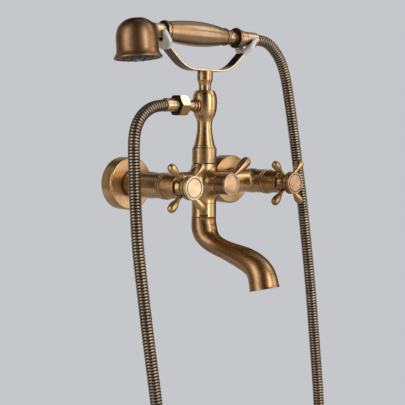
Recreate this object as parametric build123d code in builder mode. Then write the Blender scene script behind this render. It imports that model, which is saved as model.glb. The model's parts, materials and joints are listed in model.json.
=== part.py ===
from build123d import *
import math
import os

os.makedirs("parts", exist_ok=True)

# Wall-mounted bath shower mixer with cross handles, a swivel spout and a handset lying in a cradle.
# Millimetres, +Z up. The origin lies on the wall, midway between the two inlets.
# +X is to the right as seen from the room, and the mixer stands out from the wall towards -Y.
# Places along a valve, "out", are distances from the wall, so out = -y.

# Driving dimensions

INLET_CENTRES = 150.0
BODY_OUT = 47.4
RISER_TOP = 98.5
CRADLE_RISE = 20.5
CRADLE_SPAN = 135.0
HANDSET_RISE = 38.3
SPOUT_REACH = 90.2
SPOUT_NECK_DROP = 23.8

# Clearances

FIT = 0.2
RUNNING = 0.3
SHAFT_FIT = 0.05
BREAK_EDGE = 0.4

# Wall flanges, which hide the union nuts

FLANGE_RADIUS = 27.6
FLANGE_ROOM = 0.5
FLANGE_WALL = 1.8
FLANGE_EDGE = 1.6

# Inlet unions: a G1/2 tail in the wall and a G3/4 thread for the nut

TAIL_RADIUS = 10.48
TAIL_LENGTH = 14.0
UNION_BORE = 7.0
UNION_THREAD = 12.9
UNION_STEP = 1.3
UNION_COLLAR_DEPTH = 2.6
UNION_OUT = 8.3
WASHER_THICK = 1.5
NUT_WALL = 2.4
NUT_BACK = 1.0
NUT_LIP = 2.2
SPIGOT_STEP = 1.8
SPIGOT_WALL = 3.2
SPIGOT_COLLAR_DEPTH = 1.4

# Body: cross tube, legs, hub and diverter boss

CROSS_RADIUS = 12.3
LEG_STEP = 0.7
LEG_FORWARD = 26.2
LEG_BLEND = 3.0
BEAD_STAND = 0.5
BEAD_WIDTH = 1.9
BEAD_GROOVE = 1.9
HUB_STEP = 0.9
HUB_RISE = 20.4
HUB_FALL = 21.7
HUB_BLEND = 5.0
HUB_BORE = 8.0
BOSS_RADIUS = 12.0
BOSS_FORWARD = 26.3
BOSS_WALL = 3.8
VALVE_BORE = 9.2
VALVE_DEPTH = 19.6
DIVERTER_DEPTH = 20.7

# Valve headworks and their bonnets

BONNET_LENGTH = 17.9
BONNET_ROOM = 0.8
BONNET_WALL = 1.4
BONNET_BACK_WALL = 2.6
BONNET_LIP = 0.7
BONNET_LIP_DEPTH = 1.8
CARTRIDGE_STAND = 12.4
CARTRIDGE_SHOULDER = 2.4
CARTRIDGE_STEP = 1.0
SPINDLE_RADIUS = 4.0
SPINDLE_DEPTH = 11.6
SPINDLE_ENGAGE = 7.0

# Cross handles

HANDLE_GAP = 0.5
HANDLE_LENGTH = 15.0
SKIRT_RADIUS = 8.8
WAIST_RADIUS = 7.3
WAIST_UP = 5.0
FLARE_RADIUS = 9.6
FLARE_BEVEL = 1.4
RIM_RADIUS = 12.2
RIM_DEPTH = 2.4
RECESS_WALL = 1.4
SPOKE_SET = 6.2
SPOKE_COUNT = 4
SPOKE_ANGLE = 45.0
SPOKE_REACH = 32.2
SPOKE_BULB_RADIUS = 4.5
SPOKE_TIP = 5.6
SPOKE_NECK_RADIUS = 1.9
SPOKE_NECK = 13.6
INDEX_STEP = 0.3
INDEX_THICK = 3.9
INDEX_NECK = 1.3
INDEX_NECK_STEP = 1.0
INDEX_RIM = 1.7
INDEX_DISH = 0.5
INDEX_SPIGOT = 1.6
SCREW_HEAD_RADIUS = 3.8
SCREW_HEAD_DEPTH = 2.2
SCREW_RADIUS = 1.9
SCREW_BITE = 6.0
HEX_KEY_FLATS = 3.0
HEX_KEY_DEPTH = 1.4

# Diverter

DIVERTER_STEP = 0.8
DIVERTER_STAND = 2.9
DIVERTER_SPINDLE_RADIUS = 3.5
DIVERTER_SPINDLE_LENGTH = 21.6
DIVERTER_WEB = 1.7
KNOB_GAP = 0.4
KNOB_LENGTH = 12.9
KNOB_ROOM = 0.5
KNOB_CAVITY = 1.5
KNOB_SKIRT_WALL = 2.4
KNOB_CAP_WALL = 3.7
KNOB_GROOVE = 0.5
KNOB_GROOVE_SET = 3.1
CAP_STEP = 0.2
CAP_THICK = 2.4
CAP_RIM = 1.3
CAP_DISH = 0.6
CAP_SPIGOT = 1.1
LEVER_SET = 6.8
LEVER_ANGLE = 37.0
LEVER_REACH = 44.2
LEVER_SOCKET = 2.7
LEVER_ROOT_RADIUS = 1.9
LEVER_COLLAR_RADIUS = 3.1
LEVER_COLLAR_WIDTH = 2.2
LEVER_NECK_RADIUS = 2.1
LEVER_NECK = 4.3
LEVER_BULB_RADIUS = 4.4
LEVER_TIP = 6.2

# Riser: seal, collar nut, turned column and its outlet

SEAL_THICK = 0.9
SEAL_RADIUS = 11.9
COLLAR_RADIUS = 13.15
COLLAR_HEIGHT = 16.1
COLUMN_SPIGOT_RADIUS = 9.0
COLUMN_BORE = 4.5
COLUMN_BASE_RADIUS = 11.9
COLUMN_BASE_HEIGHT = 2.9
COLUMN_RADIUS = 13.1
COLUMN_HEIGHT_SHARES = (0, 0.15, 0.29, 0.46, 0.56, 0.75, 0.94, 1)
COLUMN_RADIUS_SHARES = (0.83, 0.7, 0.61, 0.66, 0.87, 1, 0.9, 0.76)
OUTLET_DROP = 16.5
OUTLET_BORE = 3.5
OUTLET_SOCKET = 4.1
OUTLET_RING_STEP = 2.0
OUTLET_RING_WIDTH = 1.7
OUTLET_BEAD_STEP = 1.3
OUTLET_BEAD_WIDTH = 3.4
OUTLET_NECK_RADIUS = 5.0
OUTLET_NECK_LENGTH = 11.5
OUTLET_THREAD_RADIUS = 8.2
OUTLET_THREAD_LENGTH = 7.3

# Cradle: stem, strap, screw and the two forks

STEM_FOOT_RADIUS = 6.4
STEM_FOOT_HEIGHT = 4.5
STEM_HEAD_RADIUS = 8.3
STEM_HEAD_HEIGHT = 8.5
STEM_SPIGOT_RADIUS = 5.2
STEM_SPIGOT_LENGTH = 6.0
STRAP_WIDTH = 13.0
STRAP_THICK = 2.2
STRAP_BEND = 40.0
STRAP_SLOPE = 41.0
STRAP_ARM = 34.0
CRADLE_SCREW_RADIUS = 2.4
CRADLE_SCREW_HEAD = 4.4
CRADLE_SCREW_BITE = 9.0
CRADLE_SCREW_SLOT = 1.0
FORK_THICK = 5.2
FORK_GRIP = 3.4
FORK_PRONG = 2.3
FORK_FOOT_WIDTH = 15.0
FORK_WALL = 5.9
FORK_SHOULDER = 8.5
FORK_LEAN = 36.0
FORK_EDGE = 1.0

# Spout: collar, swivelling pipe, seals and outlet

SPOUT_RADIUS = 13.1
SPOUT_WALL = 2.0
SPOUT_PIPE_RADIUS = 10.4
SPOUT_ELBOW_RADIUS = 13.4
SPOUT_LIP_RADIUS = 15.8
SPOUT_TILT = 15.0
SPOUT_SLOPE = 14.5
SPOUT_FIRST_BEND = 24.0
SPOUT_SECOND_BEND = 26.0
SPOUT_TAIL = 22.8
SPOUT_STATION_SHARES = (0, 0.05, 0.17, 0.31, 0.5, 0.72, 0.84, 0.94, 1)
SPOUT_LIP_SHARES = (0, 0, 0, 0, 0, 0, 0.22, 0.66, 1)
SPOUT_PIPE_SHARES = (0, 0, 0.18, 1, 0.93, 0.2, 0, 0, 0)
COLLAR_WEB = 2.3
SHANK_WALL = 3.5
RING_LAND = 0.9
RING_WIDTH = 2.0
RING_DEPTH = 1.2
SET_SCREW_RADIUS = 2.0
SET_SCREW_LENGTH = 3.8
SET_SCREW_UP = 3.4
SET_SCREW_ANGLE = 50.0
NOTCH_WIDTH = 8.5
NOTCH_HEIGHT = 2.0
NOTCH_DEPTH = 0.8
NOTCH_UP = 0.8
NOTCH_ANGLE = -135.0
AERATOR_RADIUS = 11.6
AERATOR_RECESS = 1.5
AERATOR_DEPTH = 8.0
AERATOR_WALL = 1.8
AERATOR_PLATE = 1.6
AERATOR_HOLE = 1.1
AERATOR_HOLE_COUNT = 8
AERATOR_PITCH = 6.4

# Hose fittings and hose

HOSE_RADIUS = 6.2
HOSE_BORE = 4.8
HOSE_NUT_WALL = 2.0
HOSE_NUT_BACK = 0.3
HOSE_NUT_LIP = 1.3
HOSE_WASHER = 1.6
FERRULE_STEP = 0.3
FERRULE_COLLAR_DEPTH = 1.4
FERRULE_LENGTH = 8.4
RIB_COUNT = 100
RIB_DEPTH = 0.8
RIB_SHARES = (0, 0.25, 0.5, 0.75)
RIB_CREST_SHARES = (0, 1, 1, 0)
BEND_SHARE = 0.45

# Handset, along X over the cradle, with its head at -X

HEAD_OFFSET = 25.1
HEAD_DROP = 28.0
HEAD_TILT = 5.5
HEAD_RIM_STAND = 3.4
HEAD_RIM_THICK = 1.3
HEAD_FLARE_HEIGHT = 9.5
HEAD_RADIUS = 21.2
HEAD_SHOULDER_HEIGHT = 14.0
HEAD_CROWN_SHARES = (0.8, 0.68)
HEAD_HEIGHT = 37.8
HEAD_WALL = 1.6
PLATE_STEP = 0.7
PLATE_THICK = 2.4
PLATE_RECESS = 1.0
PLATE_RIM = 1.6
PLATE_DISH = 0.6
NOZZLE_RADIUS = 1.1
NOZZLE_TIP_RADIUS = 0.7
NOZZLE_STAND = 1.3
NOZZLE_RING_COUNT = 2
NOZZLE_FIRST_COUNT = 6
NOZZLE_PITCH = 7.4
PLATE_SCREW_RADIUS = 1.5
PLATE_SCREW_HEAD = 2.6
PLATE_SCREW_HEAD_DEPTH = 1.1
PLATE_SCREW_LENGTH = 9.0
NECK_RADIUS = 7.3
NECK_ROOT_RADIUS = 10.2
NECK_ROOT = 11.5
NECK_WAIST = 3.5
NECK_END = 7.3
TUBE_RADIUS = 5.0
TUBE_BORE = 3.6
TUBE_SOCKET = 4.0
HAND_RING_RADIUS = 10.4
HAND_RING_WIDTH = 5.4
HAND_RING_EDGE = 2.0
GRIP_GROOVE = 2.2
GRIP_START_RADIUS = 10.4
GRIP_BELLY_RADIUS = 13.2
GRIP_BELLY_SHARE = 0.46
GRIP_END_RADIUS = 8.7
GRIP_EDGE = 0.8
END_RING_WIDTH = 4.8
END_RING_RADIUS = 9.8
END_NECK_LENGTH = 7.8
END_NECK_RADIUS = 6.4
BALL_RADIUS = 11.6
BALL_STEP = 3.4
BALL_HALF_WIDTH = 5.3
END_THREAD_RADIUS = 6.4
END_THREAD_LENGTH = 9.4
CONE_BEFORE_FORK = 15.5
CONE_BACK_LENGTH = 5.5
CONE_STEP = 0.9
CONE_NECK_RADIUS = 8.0
CONE_AFTER_FORK = 9.5
CONE_TIP_LENGTH = 3.0
CONE_TIP_STEP = 0.7

# Worked-out sizes of the inlets and the body

inlet_x = INLET_CENTRES / 2
sides = {"left": -inlet_x, "right": inlet_x}
valves = {"hot": -inlet_x, "cold": inlet_x}
washer_out = UNION_OUT + WASHER_THICK
spigot_out = washer_out + SPIGOT_COLLAR_DEPTH
nut_lip_out = spigot_out + FIT
nut_front = nut_lip_out + NUT_LIP
leg_back = nut_front + FIT
flange_depth = nut_front + FLANGE_ROOM + FLANGE_WALL
leg_radius = CROSS_RADIUS + LEG_STEP
hub_radius = CROSS_RADIUS + HUB_STEP
leg_front = BODY_OUT + LEG_FORWARD
boss_front = BODY_OUT + BOSS_FORWARD
groove_back = leg_front - BEAD_WIDTH - BEAD_GROOVE
valve_seat = leg_front - VALVE_DEPTH
diverter_seat = boss_front - DIVERTER_DEPTH
spigot_collar = UNION_THREAD - 2 * FIT
spigot_neck = spigot_collar - SPIGOT_STEP
inlet_bore = spigot_neck - SPIGOT_WALL
hub_bottom = -HUB_FALL

# Worked-out places along a valve

bonnet_front = leg_front + BONNET_LENGTH
bonnet_bore = VALVE_BORE + BONNET_ROOM
handle_back = bonnet_front + HANDLE_GAP
rim_front = handle_back + HANDLE_LENGTH
rim_back = rim_front - RIM_DEPTH
handle_floor = rim_front - INDEX_SPIGOT - SCREW_HEAD_DEPTH - 2 * FIT
spindle_front = handle_back + SPINDLE_ENGAGE
handle_recess = FLARE_RADIUS - RECESS_WALL
index_radius = RIM_RADIUS - INDEX_STEP
index_neck_front = rim_front + INDEX_NECK
index_front = index_neck_front + INDEX_THICK

# Worked-out places along the diverter

diverter_bore = BOSS_RADIUS - BOSS_WALL
diverter_nose = diverter_bore - DIVERTER_STEP
diverter_nose_front = boss_front + DIVERTER_STAND
knob_back = boss_front + KNOB_GAP
knob_front = knob_back + KNOB_LENGTH
knob_cavity = diverter_nose + KNOB_CAVITY
knob_cavity_out = diverter_nose_front + KNOB_ROOM
knob_radius = knob_cavity + KNOB_SKIRT_WALL
knob_recess = knob_radius - KNOB_CAP_WALL
knob_floor = knob_front - CAP_SPIGOT - SCREW_HEAD_DEPTH - 2 * FIT
diverter_spindle_front = knob_floor - DIVERTER_WEB
lever_root = knob_radius - LEVER_SOCKET
lever_collar = knob_radius + FIT
lever_neck = lever_collar + LEVER_COLLAR_WIDTH

# Worked-out heights over the body, and places along the hose outlet

collar_bottom = HUB_RISE + SEAL_THICK
collar_top = collar_bottom + COLLAR_HEIGHT
column_base_top = collar_top + COLUMN_BASE_HEIGHT
outlet_height = RISER_TOP - OUTLET_DROP
cradle_height = RISER_TOP + CRADLE_RISE
handset_height = cradle_height + HANDSET_RISE
outlet_ring = COLUMN_RADIUS + FIT
outlet_bead = outlet_ring + OUTLET_RING_WIDTH + BREAK_EDGE
outlet_neck = outlet_bead + OUTLET_BEAD_WIDTH
outlet_thread = outlet_neck + OUTLET_NECK_LENGTH
outlet_end = outlet_thread + OUTLET_THREAD_LENGTH
ferrule_collar = outlet_end + HOSE_WASHER
ferrule_neck = ferrule_collar + FERRULE_COLLAR_DEPTH
ferrule_end = ferrule_neck + FERRULE_LENGTH
ferrule_radius = HOSE_RADIUS + FERRULE_STEP
hose_nut_start = outlet_thread - HOSE_NUT_BACK
hose_nut_lip = ferrule_neck + SHAFT_FIT
hose_nut_end = hose_nut_lip + HOSE_NUT_LIP

# Worked-out places of the cradle and the handset, along X

fork_x = CRADLE_SPAN / 2
slope = math.radians(STRAP_SLOPE)
lean = math.radians(FORK_LEAN)
arm_end_z = cradle_height + STRAP_ARM * math.sin(slope)
fork_foot_z = arm_end_z + STRAP_THICK / 2 * math.cos(slope)
fork_foot_x = fork_x - (handset_height - fork_foot_z) * math.tan(lean)
arm_end_x = fork_foot_x + STRAP_THICK / 2 * math.sin(slope)
strap_corner = arm_end_x - STRAP_ARM * math.cos(slope)
fork_height = FORK_GRIP + (handset_height + FORK_PRONG - fork_foot_z) / math.cos(lean)
neck_root_x = -fork_x - NECK_ROOT
neck_waist_x = -fork_x - NECK_WAIST
neck_end_x = -fork_x + NECK_END
hand_ring_end_x = neck_end_x + HAND_RING_WIDTH
grip_start_x = hand_ring_end_x + GRIP_GROOVE
cone_start_x = fork_x - CONE_BEFORE_FORK
cone_neck_x = cone_start_x + CONE_BACK_LENGTH
cone_end_x = fork_x + CONE_AFTER_FORK
cone_tip_x = cone_end_x + CONE_TIP_LENGTH
ball_end_x = cone_start_x - 2 * FIT
ball_x = ball_end_x - BALL_HALF_WIDTH
end_neck_x = ball_x - BALL_HALF_WIDTH
end_ring_x = end_neck_x - END_NECK_LENGTH
grip_end_x = end_ring_x - END_RING_WIDTH
grip_belly_x = grip_start_x + GRIP_BELLY_SHARE * (grip_end_x - grip_start_x)
head_x = -fork_x - HEAD_OFFSET
head_z = handset_height - HEAD_DROP
head_tilt = math.radians(HEAD_TILT)
head_rim = HEAD_RADIUS + HEAD_RIM_STAND
plate_radius = HEAD_RADIUS + PLATE_STEP

# Worked-out places of the spout

shank_radius = SPOUT_RADIUS - SHANK_WALL
collar_seat = hub_bottom - COLLAR_WEB
shank_top = collar_seat - RUNNING
ring_step = RING_WIDTH + RING_LAND
shank_groove_top = shank_top - 2 * ring_step - RING_LAND
set_screw_z = shank_groove_top - RUNNING - SET_SCREW_RADIUS
spout_collar_bottom = set_screw_z - SET_SCREW_UP
spout_top = spout_collar_bottom - RUNNING
spout_tilt = math.radians(SPOUT_TILT)
spout_slope = math.radians(SPOUT_SLOPE)
elbow_out = BODY_OUT + SPOUT_REACH - SPOUT_TAIL * math.sin(spout_tilt)
neck_corner_z = spout_top - SPOUT_NECK_DROP
elbow_z = neck_corner_z - (elbow_out - BODY_OUT) * math.tan(spout_slope)
spout_end_z = elbow_z - SPOUT_TAIL * math.cos(spout_tilt)


def out_plane(x, out, turn=0):
    """The plane across a valve at a distance from the wall, facing the room, turned by an angle."""
    turn = math.radians(turn)
    return Plane(origin=(x, -out, 0), x_dir=(math.cos(turn), 0, math.sin(turn)), z_dir=(0, -1, 0))


def out_section(x):
    """The half-section plane of a valve: first radius, then distance from the wall."""
    return Plane(origin=(x, 0, 0), x_dir=(1, 0, 0), z_dir=(0, 0, -1))


def out_axis(x):
    return Axis((x, 0, 0), (0, -1, 0))


def up_plane(z):
    """The plane across the riser and spout axis at a height."""
    return Plane(origin=(0, -BODY_OUT, z), x_dir=(1, 0, 0), z_dir=(0, 0, 1))


def along_section(z, direction):
    """The half-section plane of a piece turned about a line along X: first radius, then distance."""
    return Plane(origin=(0, -BODY_OUT, z), x_dir=(0, 0, 1), z_dir=(0, direction, 0))


def along_plane(x, z):
    """The plane across a line along X at a height, facing +X, with Y first and Z second."""
    return Plane(origin=(x, -BODY_OUT, z), x_dir=(0, 1, 0), z_dir=(1, 0, 0))


def along_axis(z):
    return Axis((0, -BODY_OUT, z), (1, 0, 0))


up_section = Plane(origin=(0, -BODY_OUT, 0), x_dir=(1, 0, 0), z_dir=(0, -1, 0))
up_axis = Axis((0, -BODY_OUT, 0), (0, 0, 1))


# Inlets: flange, union, nut and washer on each side

for side, x in sides.items():
    with BuildPart() as wall_flange:
        with BuildSketch(out_section(x)):
            with BuildLine():
                Polyline(
                    (leg_radius + FIT, flange_depth),
                    (FLANGE_RADIUS, flange_depth),
                    (FLANGE_RADIUS, 0),
                    (FLANGE_RADIUS - FLANGE_WALL, 0),
                    (FLANGE_RADIUS - FLANGE_WALL, flange_depth - FLANGE_WALL),
                    (leg_radius + FIT, flange_depth - FLANGE_WALL),
                    close=True,
                )
            make_face()
        revolve(axis=out_axis(x))
        fillet(wall_flange.edges().group_by(Axis.Y)[0].sort_by(SortBy.RADIUS)[-1], FLANGE_EDGE)
    wall_flange.part.label = f"{side}_wall_flange"
    export_step(wall_flange.part, f"parts/{side}_wall_flange.step")

    with BuildPart() as inlet_union:
        with BuildSketch(out_section(x)):
            with BuildLine():
                Polyline(
                    (UNION_BORE, -TAIL_LENGTH),
                    (TAIL_RADIUS, -TAIL_LENGTH),
                    (TAIL_RADIUS, -FIT),
                    (UNION_THREAD - UNION_STEP, -FIT),
                    (UNION_THREAD - UNION_STEP, UNION_COLLAR_DEPTH),
                    (UNION_THREAD, UNION_COLLAR_DEPTH),
                    (UNION_THREAD, UNION_OUT),
                    (UNION_BORE, UNION_OUT),
                    close=True,
                )
            make_face()
        revolve(axis=out_axis(x))
        chamfer(inlet_union.edges().group_by(Axis.Y)[0].sort_by(SortBy.RADIUS)[-1], BREAK_EDGE)
    inlet_union.part.label = f"{side}_inlet_union"
    export_step(inlet_union.part, f"parts/{side}_inlet_union.step")

    with BuildPart() as inlet_washer:
        with BuildSketch(out_plane(x, UNION_OUT)):
            Circle(spigot_collar)
            Circle(UNION_BORE + 3 * FIT, mode=Mode.SUBTRACT)
        extrude(amount=WASHER_THICK)
    inlet_washer.part.label = f"{side}_inlet_washer"
    export_step(inlet_washer.part, f"parts/{side}_inlet_washer.step")

    with BuildPart() as union_nut:
        with BuildSketch(out_plane(x, NUT_BACK)):
            RegularPolygon(radius=UNION_THREAD + FIT + NUT_WALL, side_count=6, major_radius=False)
        extrude(amount=nut_front - NUT_BACK)
        with BuildSketch(out_plane(x, NUT_BACK)):
            Circle(UNION_THREAD + FIT)
        extrude(amount=nut_lip_out - NUT_BACK, mode=Mode.SUBTRACT)
        with BuildSketch(out_plane(x, nut_lip_out)):
            Circle(spigot_neck + FIT)
        extrude(amount=NUT_LIP, mode=Mode.SUBTRACT)
    union_nut.part.label = f"{side}_union_nut"
    export_step(union_nut.part, f"parts/{side}_union_nut.step")


# Mixer body, one casting: cross tube, hub, legs and the boss for the diverter

with BuildPart() as mixer_body:
    with BuildSketch(Plane.YZ):
        with Locations((-BODY_OUT, 0)):
            Circle(CROSS_RADIUS)
    extrude(amount=inlet_x, both=True)
    with BuildSketch(up_plane(hub_bottom)):
        Circle(hub_radius)
    extrude(amount=HUB_RISE + HUB_FALL)
    hub_blend = min(HUB_BLEND, HUB_RISE - hub_radius, HUB_FALL - hub_radius)
    fillet(mixer_body.edges().filter_by(GeomType.BSPLINE), hub_blend)
    for x in sides.values():
        with BuildSketch(out_plane(x, leg_back)):
            Circle(leg_radius)
        extrude(amount=leg_front - leg_back)
    leg_seams = mixer_body.edges().filter_by(GeomType.BSPLINE)
    leg_seams = leg_seams.filter_by(lambda edge: abs(edge.center().X) > inlet_x - 2 * leg_radius)
    fillet(leg_seams, LEG_BLEND)
    for x in sides.values():
        with BuildSketch(out_section(x)):
            with BuildLine():
                Polyline(
                    (0, washer_out),
                    (spigot_collar, washer_out),
                    (spigot_collar, spigot_out),
                    (spigot_neck, spigot_out),
                    (spigot_neck, leg_back),
                    (0, leg_back),
                    close=True,
                )
            make_face()
            with BuildLine():
                Polyline(
                    (0, groove_back - BEAD_WIDTH),
                    (leg_radius, groove_back - BEAD_WIDTH),
                    (leg_radius + BEAD_STAND, groove_back - BEAD_WIDTH / 2),
                    (leg_radius + BEAD_STAND, groove_back),
                    (leg_radius, groove_back + BEAD_GROOVE / 2),
                    (leg_radius + BEAD_STAND, groove_back + BEAD_GROOVE),
                    (leg_radius + BEAD_STAND, leg_front - BREAK_EDGE),
                    (leg_radius + BEAD_STAND - BREAK_EDGE, leg_front),
                    (0, leg_front),
                    close=True,
                )
            make_face()
        revolve(axis=out_axis(x))
    with BuildSketch(out_plane(0, BODY_OUT)):
        Circle(BOSS_RADIUS)
    extrude(amount=BOSS_FORWARD)
    for x in sides.values():
        with BuildSketch(out_plane(x, washer_out)):
            Circle(inlet_bore)
        extrude(amount=valve_seat - washer_out, mode=Mode.SUBTRACT)
        with BuildSketch(out_plane(x, valve_seat)):
            Circle(VALVE_BORE)
        extrude(amount=VALVE_DEPTH, mode=Mode.SUBTRACT)
    with BuildSketch(out_plane(0, diverter_seat)):
        Circle(diverter_bore)
    extrude(amount=DIVERTER_DEPTH, mode=Mode.SUBTRACT)
    with BuildSketch(up_plane(hub_bottom)):
        Circle(HUB_BORE)
    extrude(amount=HUB_RISE + HUB_FALL, mode=Mode.SUBTRACT)
mixer_body.part.label = "mixer_body"
export_step(mixer_body.part, "parts/mixer_body.step")


# Valves: headwork, spindle, bonnet, cross handle, index and screw on each leg

for water, x in valves.items():
    with BuildPart() as cartridge:
        with BuildSketch(out_section(x)):
            with BuildLine():
                Polyline(
                    (SPINDLE_RADIUS + SHAFT_FIT, valve_seat),
                    (VALVE_BORE - FIT, valve_seat),
                    (VALVE_BORE - FIT, leg_front + CARTRIDGE_SHOULDER),
                    (VALVE_BORE - CARTRIDGE_STEP, leg_front + CARTRIDGE_SHOULDER),
                    (VALVE_BORE - CARTRIDGE_STEP, leg_front + CARTRIDGE_STAND),
                    (SPINDLE_RADIUS + SHAFT_FIT, leg_front + CARTRIDGE_STAND),
                    close=True,
                )
            make_face()
        revolve(axis=out_axis(x))
    cartridge.part.label = f"{water}_valve_cartridge"
    export_step(cartridge.part, f"parts/{water}_valve_cartridge.step")

    with BuildPart() as spindle:
        with BuildSketch(out_plane(x, leg_front - SPINDLE_DEPTH)):
            Circle(SPINDLE_RADIUS)
        extrude(amount=spindle_front - leg_front + SPINDLE_DEPTH)
        with BuildSketch(out_plane(x, spindle_front)):
            Circle(SCREW_RADIUS + SHAFT_FIT)
        extrude(amount=-SCREW_BITE, mode=Mode.SUBTRACT)
    spindle.part.label = f"{water}_valve_spindle"
    export_step(spindle.part, f"parts/{water}_valve_spindle.step")

    with BuildPart() as bonnet:
        with BuildSketch(out_section(x)):
            with BuildLine():
                Polyline(
                    (bonnet_bore, leg_front),
                    (bonnet_bore + BONNET_BACK_WALL, leg_front),
                    (bonnet_bore + BONNET_WALL, bonnet_front),
                    (bonnet_bore - BONNET_LIP, bonnet_front),
                    (bonnet_bore - BONNET_LIP, bonnet_front - BONNET_LIP_DEPTH),
                    (bonnet_bore, bonnet_front - BONNET_LIP_DEPTH),
                    close=True,
                )
            make_face()
        revolve(axis=out_axis(x))
        fillet(bonnet.edges().group_by(Axis.Y)[0].sort_by(SortBy.RADIUS)[-1], BREAK_EDGE)
    bonnet.part.label = f"{water}_bonnet"
    export_step(bonnet.part, f"parts/{water}_bonnet.step")

    with BuildPart() as cross_handle:
        with BuildSketch(out_section(x)):
            with BuildLine():
                Line((0, handle_back), (SKIRT_RADIUS, handle_back))
                Spline(
                    (SKIRT_RADIUS, handle_back),
                    (WAIST_RADIUS, handle_back + WAIST_UP),
                    (FLARE_RADIUS, rim_back - FLARE_BEVEL),
                )
                Polyline(
                    (FLARE_RADIUS, rim_back - FLARE_BEVEL),
                    (RIM_RADIUS, rim_back),
                    (RIM_RADIUS, rim_front - BREAK_EDGE),
                    (RIM_RADIUS - BREAK_EDGE, rim_front),
                    (0, rim_front),
                    (0, handle_back),
                )
            make_face()
        revolve(axis=out_axis(x))
        for spoke in range(SPOKE_COUNT):
            spoke_plane = out_plane(x, rim_front - SPOKE_SET, SPOKE_ANGLE + spoke * 360 / SPOKE_COUNT)
            with BuildSketch(spoke_plane):
                with BuildLine():
                    Polyline(
                        (0, 0),
                        (0, SPOKE_NECK_RADIUS),
                        (SPOKE_REACH - SPOKE_TIP - SPOKE_NECK, SPOKE_NECK_RADIUS),
                    )
                    Spline(
                        (SPOKE_REACH - SPOKE_TIP - SPOKE_NECK, SPOKE_NECK_RADIUS),
                        (SPOKE_REACH - SPOKE_TIP, SPOKE_BULB_RADIUS),
                        (SPOKE_REACH, 0),
                        tangents=((1, 0), (0, -1)),
                    )
                    Line((SPOKE_REACH, 0), (0, 0))
                make_face()
            revolve(axis=Axis(spoke_plane.origin, spoke_plane.x_dir))
        with BuildSketch(out_plane(x, handle_back)):
            Circle(SPINDLE_RADIUS + SHAFT_FIT)
        extrude(amount=SPINDLE_ENGAGE, mode=Mode.SUBTRACT)
        with BuildSketch(out_plane(x, handle_back)):
            Circle(SCREW_RADIUS + FIT)
        extrude(amount=HANDLE_LENGTH, mode=Mode.SUBTRACT)
        with BuildSketch(out_plane(x, handle_floor)):
            Circle(handle_recess)
        extrude(amount=rim_front - handle_floor, mode=Mode.SUBTRACT)
    cross_handle.part.label = f"{water}_cross_handle"
    export_step(cross_handle.part, f"parts/{water}_cross_handle.step")

    with BuildPart() as handle_screw:
        with BuildSketch(out_plane(x, handle_floor)):
            Circle(SCREW_HEAD_RADIUS)
        extrude(amount=SCREW_HEAD_DEPTH)
        with BuildSketch(out_plane(x, handle_floor)):
            Circle(SCREW_RADIUS)
        extrude(amount=spindle_front - SCREW_BITE + FIT - handle_floor)
        with BuildSketch(out_plane(x, handle_floor + SCREW_HEAD_DEPTH)):
            RegularPolygon(radius=HEX_KEY_FLATS / 2, side_count=6, major_radius=False)
        extrude(amount=-HEX_KEY_DEPTH, mode=Mode.SUBTRACT)
    handle_screw.part.label = f"{water}_handle_screw"
    export_step(handle_screw.part, f"parts/{water}_handle_screw.step")

    with BuildPart() as index_cap:
        with BuildSketch(out_section(x)):
            with BuildLine():
                Polyline(
                    (0, rim_front - INDEX_SPIGOT),
                    (handle_recess - FIT, rim_front - INDEX_SPIGOT),
                    (handle_recess - FIT, rim_front),
                    (index_radius - INDEX_NECK_STEP, rim_front),
                    (index_radius - INDEX_NECK_STEP, index_neck_front),
                    (index_radius, index_neck_front),
                    (index_radius, index_front - BREAK_EDGE),
                    (index_radius - BREAK_EDGE, index_front),
                    (index_radius - INDEX_RIM, index_front),
                    (index_radius - INDEX_RIM, index_front - INDEX_DISH),
                    (0, index_front - INDEX_DISH),
                    close=True,
                )
            make_face()
        revolve(axis=out_axis(x))
    index_cap.part.label = f"{water}_index_cap"
    export_step(index_cap.part, f"parts/{water}_index_cap.step")


# Diverter: cartridge, spindle, knob, lever, screw and cap

with BuildPart() as diverter_cartridge:
    with BuildSketch(out_section(0)):
        with BuildLine():
            Polyline(
                (DIVERTER_SPINDLE_RADIUS + SHAFT_FIT, diverter_seat),
                (diverter_bore - FIT, diverter_seat),
                (diverter_bore - FIT, boss_front),
                (diverter_nose, boss_front),
                (diverter_nose, diverter_nose_front),
                (DIVERTER_SPINDLE_RADIUS + SHAFT_FIT, diverter_nose_front),
                close=True,
            )
        make_face()
    revolve(axis=out_axis(0))
diverter_cartridge.part.label = "diverter_cartridge"
export_step(diverter_cartridge.part, "parts/diverter_cartridge.step")

with BuildPart() as diverter_spindle:
    with BuildSketch(out_plane(0, diverter_spindle_front - DIVERTER_SPINDLE_LENGTH)):
        Circle(DIVERTER_SPINDLE_RADIUS)
    extrude(amount=DIVERTER_SPINDLE_LENGTH)
    with BuildSketch(out_plane(0, diverter_spindle_front)):
        Circle(SCREW_RADIUS + SHAFT_FIT)
    extrude(amount=-SCREW_BITE, mode=Mode.SUBTRACT)
diverter_spindle.part.label = "diverter_spindle"
export_step(diverter_spindle.part, "parts/diverter_spindle.step")

lever_plane = out_plane(0, knob_front - LEVER_SET, LEVER_ANGLE)
lever_line = Axis(lever_plane.origin, lever_plane.x_dir)

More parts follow.
